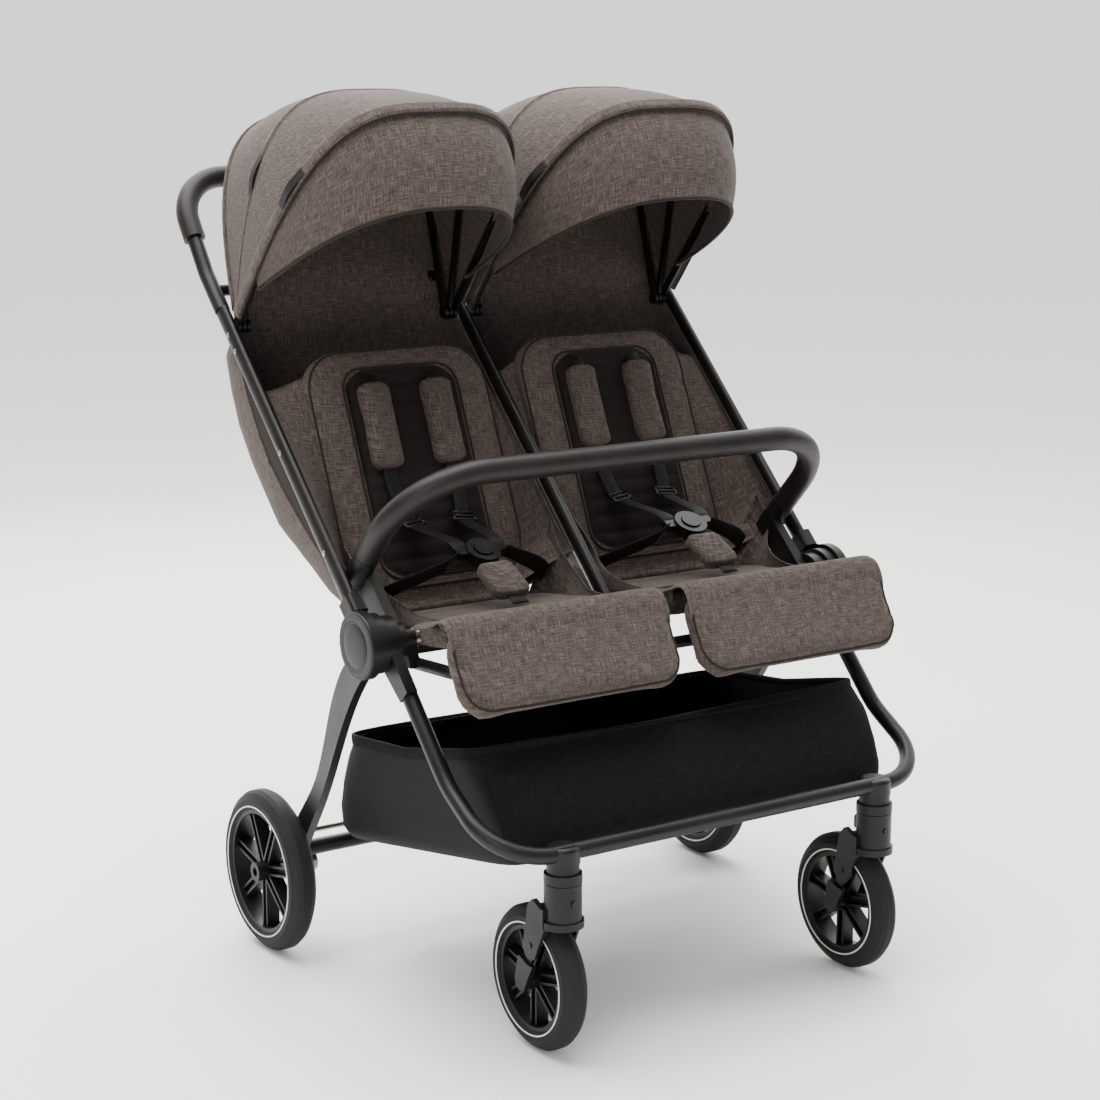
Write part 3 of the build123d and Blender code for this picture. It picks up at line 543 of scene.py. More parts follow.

# %% [markdown]
# ## Hoods
# Each hood hangs on three hoops that share one pivot. The hoops are rounded rectangles in their own planes:
# nearly flat across the top and nearly straight down the sides. The rim and visor ride with the front hoop. The
# panels meet at the middle hoop: one runs from the front hoop to it, the other from it to the rear hoop.


# %% Hoop curve and the panels between hoops
def hoop(angle, crown, half_width, count=61, start=20, power=0.606):
    """A hoop as (sideways, forward, height) points about the hood's pivot, evenly spaced."""
    turn = np.linspace(0, math.pi, 900)
    sideways = half_width * np.sign(np.cos(turn)) * np.abs(np.cos(turn)) ** power
    reach = crown * np.abs(np.sin(turn)) ** power
    sideways, reach = sideways[reach > start], reach[reach > start]
    tilt = math.radians(angle)
    line = np.stack([sideways, reach * math.cos(tilt), reach * math.sin(tilt)], axis=1)
    return resample(line, count)


def hood_point(line, side):
    """Points about the pivot in millimetres, as points of the frame."""
    line = np.asarray(line)
    return np.stack([side * (hood_middle + line[..., 0] * mm), hood_pivot.y - line[..., 1] * mm,
                     hood_pivot.z + line[..., 2] * mm], axis=-1)


def between(first, last, rows, sag):
    """Rows from one hoop to the next. The cloth is padded, so it swells a little between them."""
    made = []
    for t in np.linspace(0, 1, rows):
        row = first * (1 - t) + last * t
        lengths = np.linalg.norm(row[:, 1:], axis=1, keepdims=True)
        dip = sag * math.sin(math.pi * t) * np.minimum(lengths / 200, 1)
        made.append(row - row * [0, 1, 1] / np.maximum(lengths, 1) * dip)
    return np.array(made)


def hoop_normal(angle):
    """Square to the plane of a hoop, towards the back."""
    return Vector((0, math.sin(math.radians(angle)), math.cos(math.radians(angle))))


front_angle, middle_angle, rear_angle = 50.5, 78, 106      # of the hoops' planes, in degrees above straight ahead
front_hoop = hoop(front_angle, 373, 174.5)
middle_hoop = hoop(middle_angle, 316, 171)
rear_hoop = hoop(rear_angle, 286, 168)
rim_side = np.array(hoop_normal(front_angle))
print("hoops", [round(float(line[:, 2].max())) for line in (front_hoop, middle_hoop, rear_hoop)], "mm high")

# %% Hood panels, rims and seams
for name, side in SIDES.items():
    inside = hood_point([0, 60, 120], side)
    body = f"canopy_{name}"
    front = panel(f"hood_front_{name}", hood_point(between(front_hoop, middle_hoop, 13, -5), side), seat_cloth,
                  inside)
    rear = panel(f"hood_rear_{name}", hood_point(between(middle_hoop, rear_hoop, 15, -5), side), seat_cloth, inside)
    middle_normal = hoop_normal(middle_angle)
    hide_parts(f"canopy_fabric_{name}")
    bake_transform(front)
    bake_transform(rear)

    rim_line = hood_point(front_hoop, side)
    rim = sweep(f"hood_rim_{name}", rim_line, round_section(17, 9, 14, 0.6), seat_cloth, rim_side)
    piping = [sweep(f"rim_piping_{name}", rim_line + rim_side * shift * mm, PIPING, binding, rim_side)
              for shift in (-8.5, 8.5)]
    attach(join(f"hood_rim_{name}", rim, *piping), body)
    seam = hood_point(between(front_hoop, middle_hoop, 3, 0)[2], side)
    ridge = sweep(f"hood_seam_{name}", seam, round_section(5, 2.2, 8), seat_cloth, tuple(middle_normal))
    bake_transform(ridge)
    back_seam = sweep(f"hood_back_seam_{name}", hood_point(rear_hoop, side), round_section(9, 6, 10, 0.7),
                      seat_cloth, tuple(hoop_normal(rear_angle)))
    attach(back_seam, "main_frame")
print("hoods ready")

# %% [markdown]
# ## Visors
# A visor is sewn to the rim near the rim's feet and over the crown, and its free edge curves down and forward:
# low at both sides, high in the middle. Its cloth bows outwards because the edge has a springy wire in it.


# %% Visor surface
PIVOT_BEHIND, PIVOT_HEIGHT = 365.8, 840.7       # the hood's pivot: millimetres behind the hub, and above the ground


def visor_rows(side, rows=15, count=61):
    top = hoop(front_angle, 371, 171, count, start=72)
    turn = np.linspace(0.0, math.pi, 600)
    c, s = np.cos(turn), np.sin(turn)
    edge = np.stack([160 * np.sign(c) * np.abs(c) ** 0.75, -318 + 234 * s ** 0.85 + PIVOT_BEHIND,
                     893 + 113 * s ** 0.9 - PIVOT_HEIGHT], axis=1)
    edge = resample(edge, count)
    made = []
    for t in np.linspace(0, 1, rows):
        row = top * (1 - t) + edge * t
        out = row / np.maximum(np.linalg.norm(row, axis=1, keepdims=True), 1)
        bow = 13 * math.sin(math.pi * t) * np.sin(np.linspace(0, math.pi, count)) ** 0.4
        made.append(row + out * bow[:, None])
    return hood_point(np.array(made), side)


for name, side in SIDES.items():
    rows = visor_rows(side)
    visor = panel(f"hood_visor_{name}", rows, seat_cloth, hood_point([0, 60, 60], side), thickness=2)
    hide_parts(f"canopy_visor_{name}")
    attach(visor, f"canopy_{name}")
    hem = sweep(f"visor_hem_{name}", rows[-1], round_section(4.4, 5.5, 8, 0.8), binding, (0, 0, 1))
    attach(hem, f"canopy_{name}")
print("visors ready")

# %% [markdown]
# ## Seat buckets
# One sewn bucket per seat hangs from the rear hoop, then from both main tubes down to the hub. Its section is
# a pocket: a tube-side edge, a side, a rounded back corner and a nearly flat back. The side next to the tube
# is air mesh; the rest is melange.

# %% Bucket rows
depth_at = np.array([(95, 112), (110, 128), (140, 140), (186, 145), (231, 148), (272, 150), (367, 150),
                     (427, 140), (470, 118), (508, 88)], dtype=float)
squareness_at = np.array([(95, 2.1), (110, 2.2), (186, 3.0), (231, 3.8), (272, 5.0), (508, 5.0)])
BUCKET_COLS = 61


def pocket_row(distance, half_width=172):
    depth = np.interp(distance, depth_at[:, 0], depth_at[:, 1])
    power = 2 / np.interp(distance, squareness_at[:, 0], squareness_at[:, 1])
    turn = np.linspace(0, math.pi, 700)
    c, s = np.cos(turn), np.abs(np.sin(turn))
    line = [on_tube(hood_middle / mm + half_width * np.sign(a) * abs(a) ** power, distance, depth * b ** power)
            for a, b in zip(c, s)]
    return resample(np.array(line), BUCKET_COLS)


def back_row(forward, height):
    """A hoop-shaped row from pivot to pivot whose crown is at the given place."""
    ahead, up = forward + PIVOT_BEHIND, height - PIVOT_HEIGHT
    line = hoop(math.degrees(math.atan2(up, ahead)), math.hypot(ahead, up), 168, BUCKET_COLS, start=14)
    return hood_point(line, 1)


bucket_rows = [hood_point(hoop(rear_angle, 286, 168, BUCKET_COLS), 1)]
bucket_rows += [back_row(*place) for place in ((-446, 1060), (-440, 1025), (-438, 990), (-430, 960), (-420, 930),
                                               (-399, 885), (-400, 860))]
bucket_rows += [pocket_row(d) for d in (505, 490, 470, 450, 427, 400, 367, 340, 310, 272, 250, 231, 208, 186, 163,
                                        140, 125, 110, 95)]
bucket_rows = np.array(bucket_rows)
print("bucket rows", bucket_rows.shape)

# %% [markdown]
# The mesh is only on the outer side of the bucket, so each bucket is two overlapping pieces of the same
# surface: the melange pocket, and a strip of mesh that covers its side up to the seam line.


# %% Sew the buckets
def bucket_piece(name, rows, side, finish, thickness=1.6):
    return panel(name, rows * [side, 1, 1], finish, on_tube(side * hood_middle / mm, 300, 40), thickness)


def seam_depth(distance):
    """How far behind the tube the mesh reaches, in millimetres."""
    along = [140, 186, 231, 272, 320, 367, 420, 470, 505]
    return float(np.interp(distance, along, [26, 38, 46, 52, 56, 52, 40, 22, 6]))


def side_strip(distance):
    """A row of the mesh: down the outer side of the pocket, just outside it."""
    full = pocket_row(distance, 173.6)
    origin = on_tube(0, distance)
    half = BUCKET_COLS // 2
    line = full[:half] if full[0, 0] > full[-1, 0] else full[half + 1:][::-1]
    line_depth = (line - origin) @ np.array(tube_back) / mm
    reach = np.linspace(0.5, seam_depth(distance), 8)
    return np.stack([np.interp(reach, line_depth, line[:, k]) for k in range(3)], axis=1)


strip_distances = np.linspace(142, 503, 30)
outer_strip = np.array([side_strip(d) for d in strip_distances])
for name, side in SIDES.items():
    bucket = bucket_piece(f"seat_bucket_{name}", bucket_rows, side, seat_cloth)
    strip = bucket_piece(f"bucket_mesh_{name}", outer_strip, side, air_mesh, 1.2)
    seam = sweep(f"bucket_seam_{name}", outer_strip[:, -1] * [side, 1, 1], round_section(5, 2.6, 8), seat_cloth,
                 tuple(tube_dir))
    for piece in (bucket, strip, seam):
        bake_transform(piece)
    if side > 0:
        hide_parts("seat_shells")
print("buckets ready")

# %% [markdown]
# ## Cushions
# Each hard pad of the frame is the foam inside. It is remeshed into small even cells and inflated by the cloth
# solver without gravity, so that the faces swell and the edges pull round, and the swelling is capped so that
# neighbours don't meet. The other seat gets a mirrored copy, so both seats match.


# %% Inflate a pad
SWELL_FRAMES = 20           # frames that the solver is given to swell a pad


def inflated(name, node, cap_mm, voxel_mm=5, pressure=4.0, finish=seat_cloth):
    source = frame["nodes"][node]
    made = bpy.data.objects.new(name, source.data.copy())
    scene.collection.objects.link(made)
    remesh = made.modifiers.new("even_cells", "REMESH")
    remesh.mode, remesh.voxel_size = "VOXEL", voxel_mm * mm
    apply_modifiers(made)
    rest = corners_of(made)
    cloth = made.modifiers.new("skin", "CLOTH")
    cloth.settings.quality = 5
    cloth.settings.mass = 0.2
    cloth.settings.use_pressure = True
    cloth.settings.uniform_pressure_force = pressure
    cloth.settings.effector_weights.gravity = 0
    cloth.settings.tension_stiffness = cloth.settings.compression_stiffness = 8
    cloth.settings.bending_stiffness = 0.6
    cloth.point_cache.frame_start, cloth.point_cache.frame_end = 1, SWELL_FRAMES
    for step in range(1, SWELL_FRAMES + 1):
        scene.frame_set(step)
    apply_modifiers(made)
    scene.frame_set(1)
    moved = corners_of(made) - rest
    reach = np.linalg.norm(moved, axis=1, keepdims=True)
    corners = rest + moved * np.minimum(1, cap_mm * mm / np.maximum(reach, 1e-9))
    made.data.vertices.foreach_set("co", corners.ravel())
    smooth = made.modifiers.new("ease", "SMOOTH")
    smooth.factor, smooth.iterations = 0.5, 3
    apply_modifiers(made)
    made.data.materials.clear()
    made.data.materials.append(finish)
    made.data.polygons.foreach_set("use_smooth", [True] * len(made.data.polygons))
    return made


def apply_modifiers(made):
    bpy.context.view_layer.update()
    evaluated = made.evaluated_get(bpy.context.evaluated_depsgraph_get())
    mesh = bpy.data.meshes.new_from_object(evaluated)
    made.modifiers.clear()
    made.data = mesh


def corners_of(made):
    corners = np.empty(len(made.data.vertices) * 3)
    made.data.vertices.foreach_get("co", corners)
    return corners.reshape(-1, 3)


def lay_weave(made, along, out):
    """A planar UV map in metres, seen along out on the faces and from the side on the flanks."""
    mesh = made.data
    layer = mesh.uv_layers.get("weave") or mesh.uv_layers.new(name="weave")
    corners = corners_of(made)
    across_axis = np.cross(along, out)
    loops = np.empty(len(mesh.loops), dtype=int)
    mesh.loops.foreach_get("vertex_index", loops)
    spots = corners[loops]
    uv = np.stack([spots @ across_axis + spots @ out * 0.7, spots @ np.asarray(along) + spots @ out * 0.7], axis=1)
    layer.data.foreach_set("uv", uv.ravel())


def plane_of(angle):
    """Along and out of a pad that leans back at this angle above the ground."""
    tilt = math.radians(angle)
    return np.array([0, math.cos(tilt), math.sin(tilt)]), np.array([0, -math.sin(tilt), math.cos(tilt)])


back_along, back_out = plane_of(66.5)
calf_down = np.array([0, -math.cos(math.radians(60)), -math.sin(math.radians(60))])
calf_out = np.array([0, -math.sin(math.radians(60)), math.cos(math.radians(60))])
seat_along, seat_out = plane_of(-9)
seat_along = -seat_along
cushions = {}
for node, cap, axes, fill in (("backrest_left", 4, (back_along, back_out), 0.7),
                              ("seat_pad_left", 5, (seat_along, seat_out), 0.7),
                              ("footrest_left", 6, (-calf_down, calf_out), 0.8),
                              ("shoulder_pads_left", 3, (back_along, back_out), 0.8),
                              ("crotch_pad_left", 3, (back_along, back_out), 0.8)):
    piece = node.rsplit("_", 1)[0]
    made = inflated(f"soft_{node}", node, cap, 3.5 if cap == 3 else 5)
    lay_weave(made, *axes)
    other = mirrored(made, f"soft_{piece}_right")
    cushions[piece] = made
    for name, pad in (("left", made), ("right", other)):
        body = {"seat_pad": "front_frame", "shoulder_pads": f"backrest_{name}",
                "crotch_pad": f"harness_{name}"}.get(piece, f"{piece}_{name}")
        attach(pad, body)
        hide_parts(f"{piece}_{name}")
print("cushions", {k: len(v.data.polygons) for k, v in cushions.items()})

# %% [markdown]
# ## Piping, seams and the quilted centre
# Piping is laid on the swollen cushions: each outline is drawn flat in the pad's own plane, then dropped onto
# the skin along the pad's normal.


# %% Drop outlines onto cushions
def dropper(made):
    """A function that drops points onto a mesh along a direction."""
    mesh = made.data
    tree = BVHTree.FromPolygons([v.co for v in mesh.vertices], [p.vertices for p in mesh.polygons])

    def drop(points, out, lift_mm):
        landed = []
        for point in points:
            start = Vector(point) + Vector(out) * 0.05
            hit = tree.ray_cast(start, -Vector(out), 0.2)[0] or tree.find_nearest(Vector(point))[0]
            landed.append(hit + Vector(out) * lift_mm * mm)
        return np.array(landed)
    return drop


def rounded_outline(width, height, radius, count, bottom=None):
    """A rounded rectangle as evenly spaced (across, up) points, with its own radius for the bottom corners."""
    bottom = radius if bottom is None else bottom
    line = []
    for cx, cy, r, first in ((1, 1, radius, 0), (-1, 1, radius, 90), (-1, -1, bottom, 180), (1, -1, bottom, 270)):
        for step in range(9):
            turn = math.radians(first + step * 90 / 8)
            line.append((cx * (width / 2 - r) + r * math.cos(turn), cy * (height / 2 - r) + r * math.sin(turn), 0))
    line.append(line[0])
    return resample(np.array(line), count, closed=True)[:, :2]


def in_plane(origin, along, outline):
    """Flat outline points in millimetres, placed in a pad's plane: across is +X."""
    return (np.asarray(origin) + np.outer(outline[:, 0] * mm, [1, 0, 0]) + np.outer(outline[:, 1] * mm, along))


def both(name, made, body):
    """Fix a left-hand piece and its mirrored copy to their bodies."""
    other = mirrored(made, f"{name}_right")
    made.name = made.data.name = f"{name}_left"
    for side, piece in (("left", made), ("right", other)):
        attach(piece, body.format(side))
    return made, other


calf_middle = (np.array([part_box("footrest_left")[0].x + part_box("footrest_left")[1].x, 0, 0]) / 2
               + [0, calf_hinge.y, calf_hinge.z] + calf_down * 39 * mm)
drop_calf = dropper(cushions["footrest"])
calf_edge = rounded_outline(330 - 15, 122 - 15, 34, 150)
calf_piping = drop_calf(in_plane(calf_middle, -calf_down, calf_edge), calf_out, 0.6)
both("footrest_piping", sweep("footrest_piping_left", calf_piping, PIPING, binding, calf_out, closed=True),
     "footrest_{}")

back_base = np.array([seat_middle, back_hinge.y, back_hinge.z])
back_middle = back_base + back_along * 196 * mm
drop_back = dropper(cushions["backrest"])
back_edge = rounded_outline(285 - 14, 340 - 14, 54, 170)
back_piping = drop_back(in_plane(back_middle, back_along, back_edge), back_out, 0.5)
both("backrest_piping", sweep("backrest_piping_left", back_piping, PIPING, binding, back_out, closed=True),
     "backrest_{}")
inner_edge = rounded_outline(176, 288, 30, 120)
inner_middle = back_base + back_along * 190 * mm
inner_piping = drop_back(in_plane(inner_middle, back_along, inner_edge), back_out, 0.8)
both("backrest_inner_piping", sweep("backrest_inner_piping_left", inner_piping, PIPING, binding, back_out,
                                    closed=True), "backrest_{}")

# %% Quilted mesh centre of the backrest
quilt_rows, quilt_cols, channel_mm = 97, 27, 24
quilt = []
for v in np.linspace(-141, 141, quilt_rows):
    narrow = 84 - 26 * max(0, (abs(v) - 116) / 25) ** 2
    across = np.linspace(-narrow, narrow, quilt_cols)
    flat = in_plane(inner_middle, back_along, np.stack([across, np.full(quilt_cols, v)], axis=1))
    swell = abs(math.sin(math.pi * v / channel_mm)) ** 0.6
    rim = np.minimum(1, (1 - np.abs(np.linspace(-1, 1, quilt_cols))) * 5)
    quilt.append(drop_back(flat, back_out, 0.8) + np.outer(rim * (0.6 + 2.8 * swell) * mm, back_out))
quilted = panel("backrest_quilt_left", np.array(quilt), inset_mesh, back_base - back_out, 2.4)
both("backrest_quilt", quilted, "backrest_{}")

seat_middle_point = np.array([seat_middle, hub.y + 0.007, 0.5])
drop_seat = dropper(cushions["seat_pad"])
seat_edge = rounded_outline(289 - 16, 222 - 16, 26, 150)
seat_piping = drop_seat(in_plane(seat_middle_point, seat_along, seat_edge), seat_out, 0.4)
sweep_seat = sweep("seat_piping_left", seat_piping, PIPING, binding, seat_out, closed=True)
both("seat_piping", sweep_seat, "front_frame")
print("piping and quilting ready")

# %% [markdown]
# ## Cloth between pads and frame
# A wing of cloth joins each side of the backrest to its tube, a gusset joins the seat's side to the tube and the
# calf rest, and an apron rolls over the seat's front edge onto the calf rest.


# %% Wings, gussets and aprons
CORNER = 60.0               # radius of the backrest's corners, which the wings follow


def ruled(name, first, last, rows, swell_mm, towards, finish, inside, side):
    """Cloth between two edges with a soft swell, mirrored for the other seat."""
    made = []
    for t in np.linspace(0, 1, rows):
        made.append(first * (1 - t) + last * t + np.asarray(towards) * swell_mm * mm * math.sin(math.pi * t))
    return panel(name, np.array(made) * [side, 1, 1], finish, np.asarray(inside) * [side, 1, 1])


def wing_edges(end):
    """Edge tucked behind the backrest's piping, and edge beside the main tube."""
    tube_x = hood_middle / mm + end * 168
    pad, tube = [], []
    for s in np.linspace(4, 334, 34):
        into_corner = min(CORNER, max(0.0, 86 - s, s - 306))
        cut = CORNER - math.sqrt(CORNER ** 2 - into_corner ** 2)
        pad.append(on_back(end * (134 - cut), s, -9))
        tube.append(on_tube(tube_x, 92 + 0.9265 * s, 3))
    return np.array(tube), np.array(pad)


def gusset_edges(end):
    """Upper edge from the main tube past the hub to the calf rest, lower edge along the seat pad."""
    far, near, pad = (334, 292, 298) if end > 0 else (18, 30, 34)
    upper = [on_tube(far, 150, 5), on_tube(far - end * 6, 104, 5), at(near + end * 8, -42, 524), at(near, 0, 511),
             at(near, 50, 514), at(far - end * 8, 104, 529)]
    lower = [at(pad - end * 4, -138, 474), at(pad, -100, 476), at(pad, -45, 486), at(pad, 0, 493), at(pad, 50, 500),
             at(pad + end * 8, 106, 508)]
    return smooth_path(upper, 30), smooth_path(lower, 30)


def on_back(across, along, out):
    return back_base + [across * mm, 0, 0] + back_along * along * mm + back_out * out * mm


for name, side in SIDES.items():
    for end, where in ((1, "outer"), (-1, "inner")):
        tube_edge, pad_edge = wing_edges(end)
        wing = ruled(f"seat_wing_{name}_{where}", tube_edge, pad_edge, 9, -6, back_out, seat_cloth,
                     on_tube(hood_middle / mm, 260, 120), side)
        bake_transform(wing)
        upper, lower = gusset_edges(end)
        gusset = ruled(f"seat_gusset_{name}_{where}", upper, lower, 8, 2, (end, 0, 0), seat_cloth,
                       at(hood_middle / mm, 0, 500), side)
        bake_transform(gusset)

apron_rows = []
for x in np.linspace(16, 338, 41):
    edge = min(1.0, (161 - abs(x - 177)) / 14)
    drop = 5 * (1 - math.sqrt(max(edge, 0)))
    line = [at(x, 60, 516.5 - drop), at(x, 90, 523 - drop), at(x, 112, 531 - drop), at(x, 130, 538 - drop),
            at(x, 141, 535 - drop), at(x, 149, 526 - drop), at(x, 155, 513 - drop), at(x, 157, 500 - drop)]
    apron_rows.append(smooth_path(line, 26))
apron_rows = np.array(apron_rows).transpose(1, 0, 2)
for name, side in SIDES.items():
    apron = panel(f"seat_apron_{name}", apron_rows * [side, 1, 1], seat_cloth, at(side * 177, 100, 480), 2.0)
    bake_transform(apron)

# the seat liner tucks down behind the pad, so nothing shows between seat and backrest
tuck_lines = [(-96, 485), (-112, 484), (-122, 479), (-130, 471), (-134, 461)]
tuck_rows = np.array([[at(x, f, z) for x in np.linspace(26, 307, 25)] for f, z in tuck_lines])
for name, side in SIDES.items():
    tuck = panel(f"seat_tuck_{name}", tuck_rows * [side, 1, 1], seat_cloth, at(side * 166, -80, 440), 1.6)
    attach(tuck, "front_frame")
print("cloth between pads ready")

# %% [markdown]
# ## Harness
# Black webbing 24 mm wide, doubled where it's sewn. Shoulder webbing runs out of the backrest, through the
# pads and down to the buckle; lap webbing comes from beside the seat; the crotch strap comes up from below.

# %% Webbing and adjusters
buckle_middle = (np.array(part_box("buckle_left")[0]) + np.array(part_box("buckle_left")[1])) / 2
strap_base = np.array([seat_middle, strap_root.y, strap_root.z])
strap_up = (buckle_middle - strap_base) / np.linalg.norm(buckle_middle - strap_base)
strap_face = np.array([0, -strap_up[2], strap_up[1]])
THIN_STRAP = round_section(22, 1.8, 8, 0.4)


def at_buckle(across, up, out=0.0):
    return buckle_middle + [across * mm, 0, 0] + strap_up * up * mm + strap_face * out * mm


def ladder(centre, along, out):
    """A ladder adjuster: a frame of three bars that the webbing threads through."""
    across = np.cross(along, out)
    bars = []
    for offset in (-8, 0, 8):
        ends = [centre + across * s * 15 * mm + along * offset * mm + out * 2 * mm for s in (-1, 1)]
        bars.append(sweep("bar", resample(np.array(ends), 4), round_section(4, 4, 8), buckle_nylon, tuple(out)))
    for s in (-1, 1):
        ends = [centre + across * s * 15 * mm + along * o * mm + out * 2 * mm for o in (-10, 10)]
        bars.append(sweep("bar", resample(np.array(ends), 4), round_section(4, 5, 8), buckle_nylon, tuple(out)))
    return join("ladder", *bars)


straps = []
for end in (-1, 1):
    path = smooth_path([on_back(end * 48, 200, 12), on_back(end * 48, 172, 12), on_back(end * 45, 135, 17),
                        on_back(end * 38, 110, 28), at_buckle(end * 30, 26, 4), at_buckle(end * 27, 8, 2)], 30)
    strap = sweep("shoulder_strap", path, THIN_STRAP, webbing)
    middle = path[13]
    run = (path[14] - path[12]) / np.linalg.norm(path[14] - path[12])
    face = np.cross([1, 0, 0], run) * (1 if np.cross([1, 0, 0], run)[2] > 0 else -1)
    straps += [strap, ladder(middle, run, face)]
    top = smooth_path([on_back(end * 48, 300, 10), on_back(end * 48, 318, 9), on_back(end * 48, 327, 5),
                       on_back(end * 48, 331, -2)], 10)
    straps.append(sweep("shoulder_top", top, THIN_STRAP, webbing))
shoulder = join("shoulder_straps_left", *straps)
for name, piece in (("left", shoulder), ("right", mirrored(shoulder, "shoulder_straps_right"))):
    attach(piece, f"backrest_{name}")

lap = []
for end in (-1, 1):
    path = smooth_path([at(1000 * seat_middle + end * 128, -100, 512), at(1000 * seat_middle + end * 118, -84, 524),
                        at(1000 * seat_middle + end * 88, -60, 542), at(1000 * seat_middle + end * 58, -46, 556),
                        at_buckle(end * 34, 2, 0)], 26)
    lap.append(sweep("lap_strap", path, THIN_STRAP, webbing, (0, -0.55, 0.83)))
crotch = smooth_path([strap_base - strap_up * 0.012, strap_base + strap_up * 0.02, strap_base + strap_up * 0.05,
                      buckle_middle - strap_up * 0.018], 14)
lap.append(sweep("crotch_strap", crotch, STRAP, webbing))
lap_straps = join("lap_straps_left", *lap)
for name, piece in (("left", lap_straps), ("right", mirrored(lap_straps, "lap_straps_right"))):
    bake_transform(piece)
print("harness ready")

# %% [markdown]
# ## Basket
# A bag hung between the front legs and the rear legs. Its front is the charcoal melange, its other walls are
# black mesh, and a hem runs round the top.

# %% Basket loops
levels = [(0, -172, 314, 150, 371, 305), (0.25, -192, 282, 186, 341, 306), (0.5, -210, 246, 208, 306, 305),
          (0.75, -226, 206, 224, 275, 302), (0.92, -232, 172, 229, 254, 296), (1.0, -226, 158, 214, 240, 284),
          (1.08, -180, 158, 150, 224, 230), (1.2, -60, 178, 40, 202, 90)]
levels = np.array(levels, dtype=float)


def basket_loop(t, swell=0.0, count=96):
    back, back_height, front, front_height, half = [np.interp(t, levels[:, 0], levels[:, k]) for k in range(1, 6)]
    turn = np.linspace(0, 2 * math.pi, count, endpoint=False)
    c, s = np.cos(turn), np.sin(turn)
    across = (half + swell) * np.sign(c) * np.abs(c) ** 0.16
    f = (back + front) / 2 + ((front - back) / 2 + swell) * np.sign(s) * np.abs(s) ** 0.16
    height = back_height + (front_height - back_height) * (f - back) / (front - back)
    dip = 9 * (1 - min(t, 1)) * np.exp(-((f - (back + front) / 2) / 90) ** 2) * np.abs(c) ** 0.5
    return np.array([at(x, y, z - d) for x, y, z, d in zip(across, f, height, dip)])


loops = np.array([basket_loop(t) for t in np.concatenate([np.linspace(0, 1, 21), np.linspace(1.02, 1.2, 6)])])
bag = panel("basket_bag", loops, basket_mesh, at(0, 20, 250), 1.4, closed=True)
front_cols = slice(9, 40)
front_rows = np.array([basket_loop(t, 2.2) for t in np.linspace(0, 0.95, 18)])[:, front_cols]
face = panel("basket_front", front_rows, basket_cloth, at(0, 20, 250), 1.6)
hem = sweep("basket_hem", basket_loop(0.02, 1.2), round_section(5, 15, 10, 0.6), basket_cloth, (1, 0, 0.001), True)
for piece in (bag, face, hem):
    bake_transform(piece)
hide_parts("basket")
print("basket ready", len(bag.data.polygons), "faces")

# %% [markdown]
# ## Repeated small things
# Two small node groups make them: stitches along a seam, and dome heads at given places. Each group is given its
# sizes by name, is evaluated once, and leaves a plain mesh.


# %% Node groups
def group(name, sizes):
    tree = bpy.data.node_groups.new(name, "GeometryNodeTree")
    tree.interface.new_socket("Geometry", in_out="INPUT", socket_type="NodeSocketGeometry")
    for label, value in sizes.items():
        kind = "NodeSocketInt" if isinstance(value, int) else "NodeSocketFloat"
        tree.interface.new_socket(label, in_out="INPUT", socket_type=kind).default_value = value
    tree.interface.new_socket("Finish", in_out="INPUT", socket_type="NodeSocketMaterial")
    tree.interface.new_socket("Geometry", in_out="OUTPUT", socket_type="NodeSocketGeometry")
    entry = add(tree, "NodeGroupInput")
    return tree, entry.outputs


def close_group(tree, instances, finish):
    whole = add(tree, "GeometryNodeRealizeInstances", {"Geometry": instances})
    soft = add(tree, "GeometryNodeSetShadeSmooth", {"Geometry": whole.outputs["Geometry"]})
    painted = add(tree, "GeometryNodeSetMaterial", {"Geometry": soft.outputs[0], "Material": finish})
    add(tree, "NodeGroupOutput", {"Geometry": painted.outputs["Geometry"]})


def grow(tree, made, finish, **sizes):
    """Evaluate a group once on a mesh of bare points or edges, and keep the plain mesh."""
    modifier = made.modifiers.new(tree.name, "NODES")
    modifier.node_group = tree
    for item in tree.interface.items_tree:
        if item.in_out == "INPUT" and item.name in sizes:
            modifier[item.identifier] = sizes[item.name]
        if item.in_out == "INPUT" and item.name == "Finish":
            modifier[item.identifier] = finish
    apply_modifiers(made)
    return made


stitch_group, sizes_in = group("stitches_on_seam", {"Spacing": 0.004, "Length": 0.0026, "Thickness": 0.0007})
curve = add(stitch_group, "GeometryNodeMeshToCurve", {"Mesh": sizes_in["Geometry"]})
evenly = add(stitch_group, "GeometryNodeResampleCurve", {"Curve": curve.outputs["Curve"],
                                                         "Length": sizes_in["Spacing"]}, mode="LENGTH")
half_width = add(stitch_group, "ShaderNodeMath", {0: sizes_in["Thickness"], 1: 0.5}, operation="MULTIPLY")
one = add(stitch_group, "GeometryNodeMeshCylinder", {"Vertices": 5, "Radius": half_width.outputs[0],
                                                     "Depth": sizes_in["Length"]})
facing = add(stitch_group, "FunctionNodeAlignRotationToVector",
             {"Vector": add(stitch_group, "GeometryNodeInputTangent").outputs["Tangent"]}, axis="Z")
placed = add(stitch_group, "GeometryNodeInstanceOnPoints", {"Points": evenly.outputs["Curve"],
                                                            "Instance": one.outputs["Mesh"],
                                                            "Rotation": facing.outputs["Rotation"]})
close_group(stitch_group, placed.outputs["Instances"], sizes_in["Finish"])

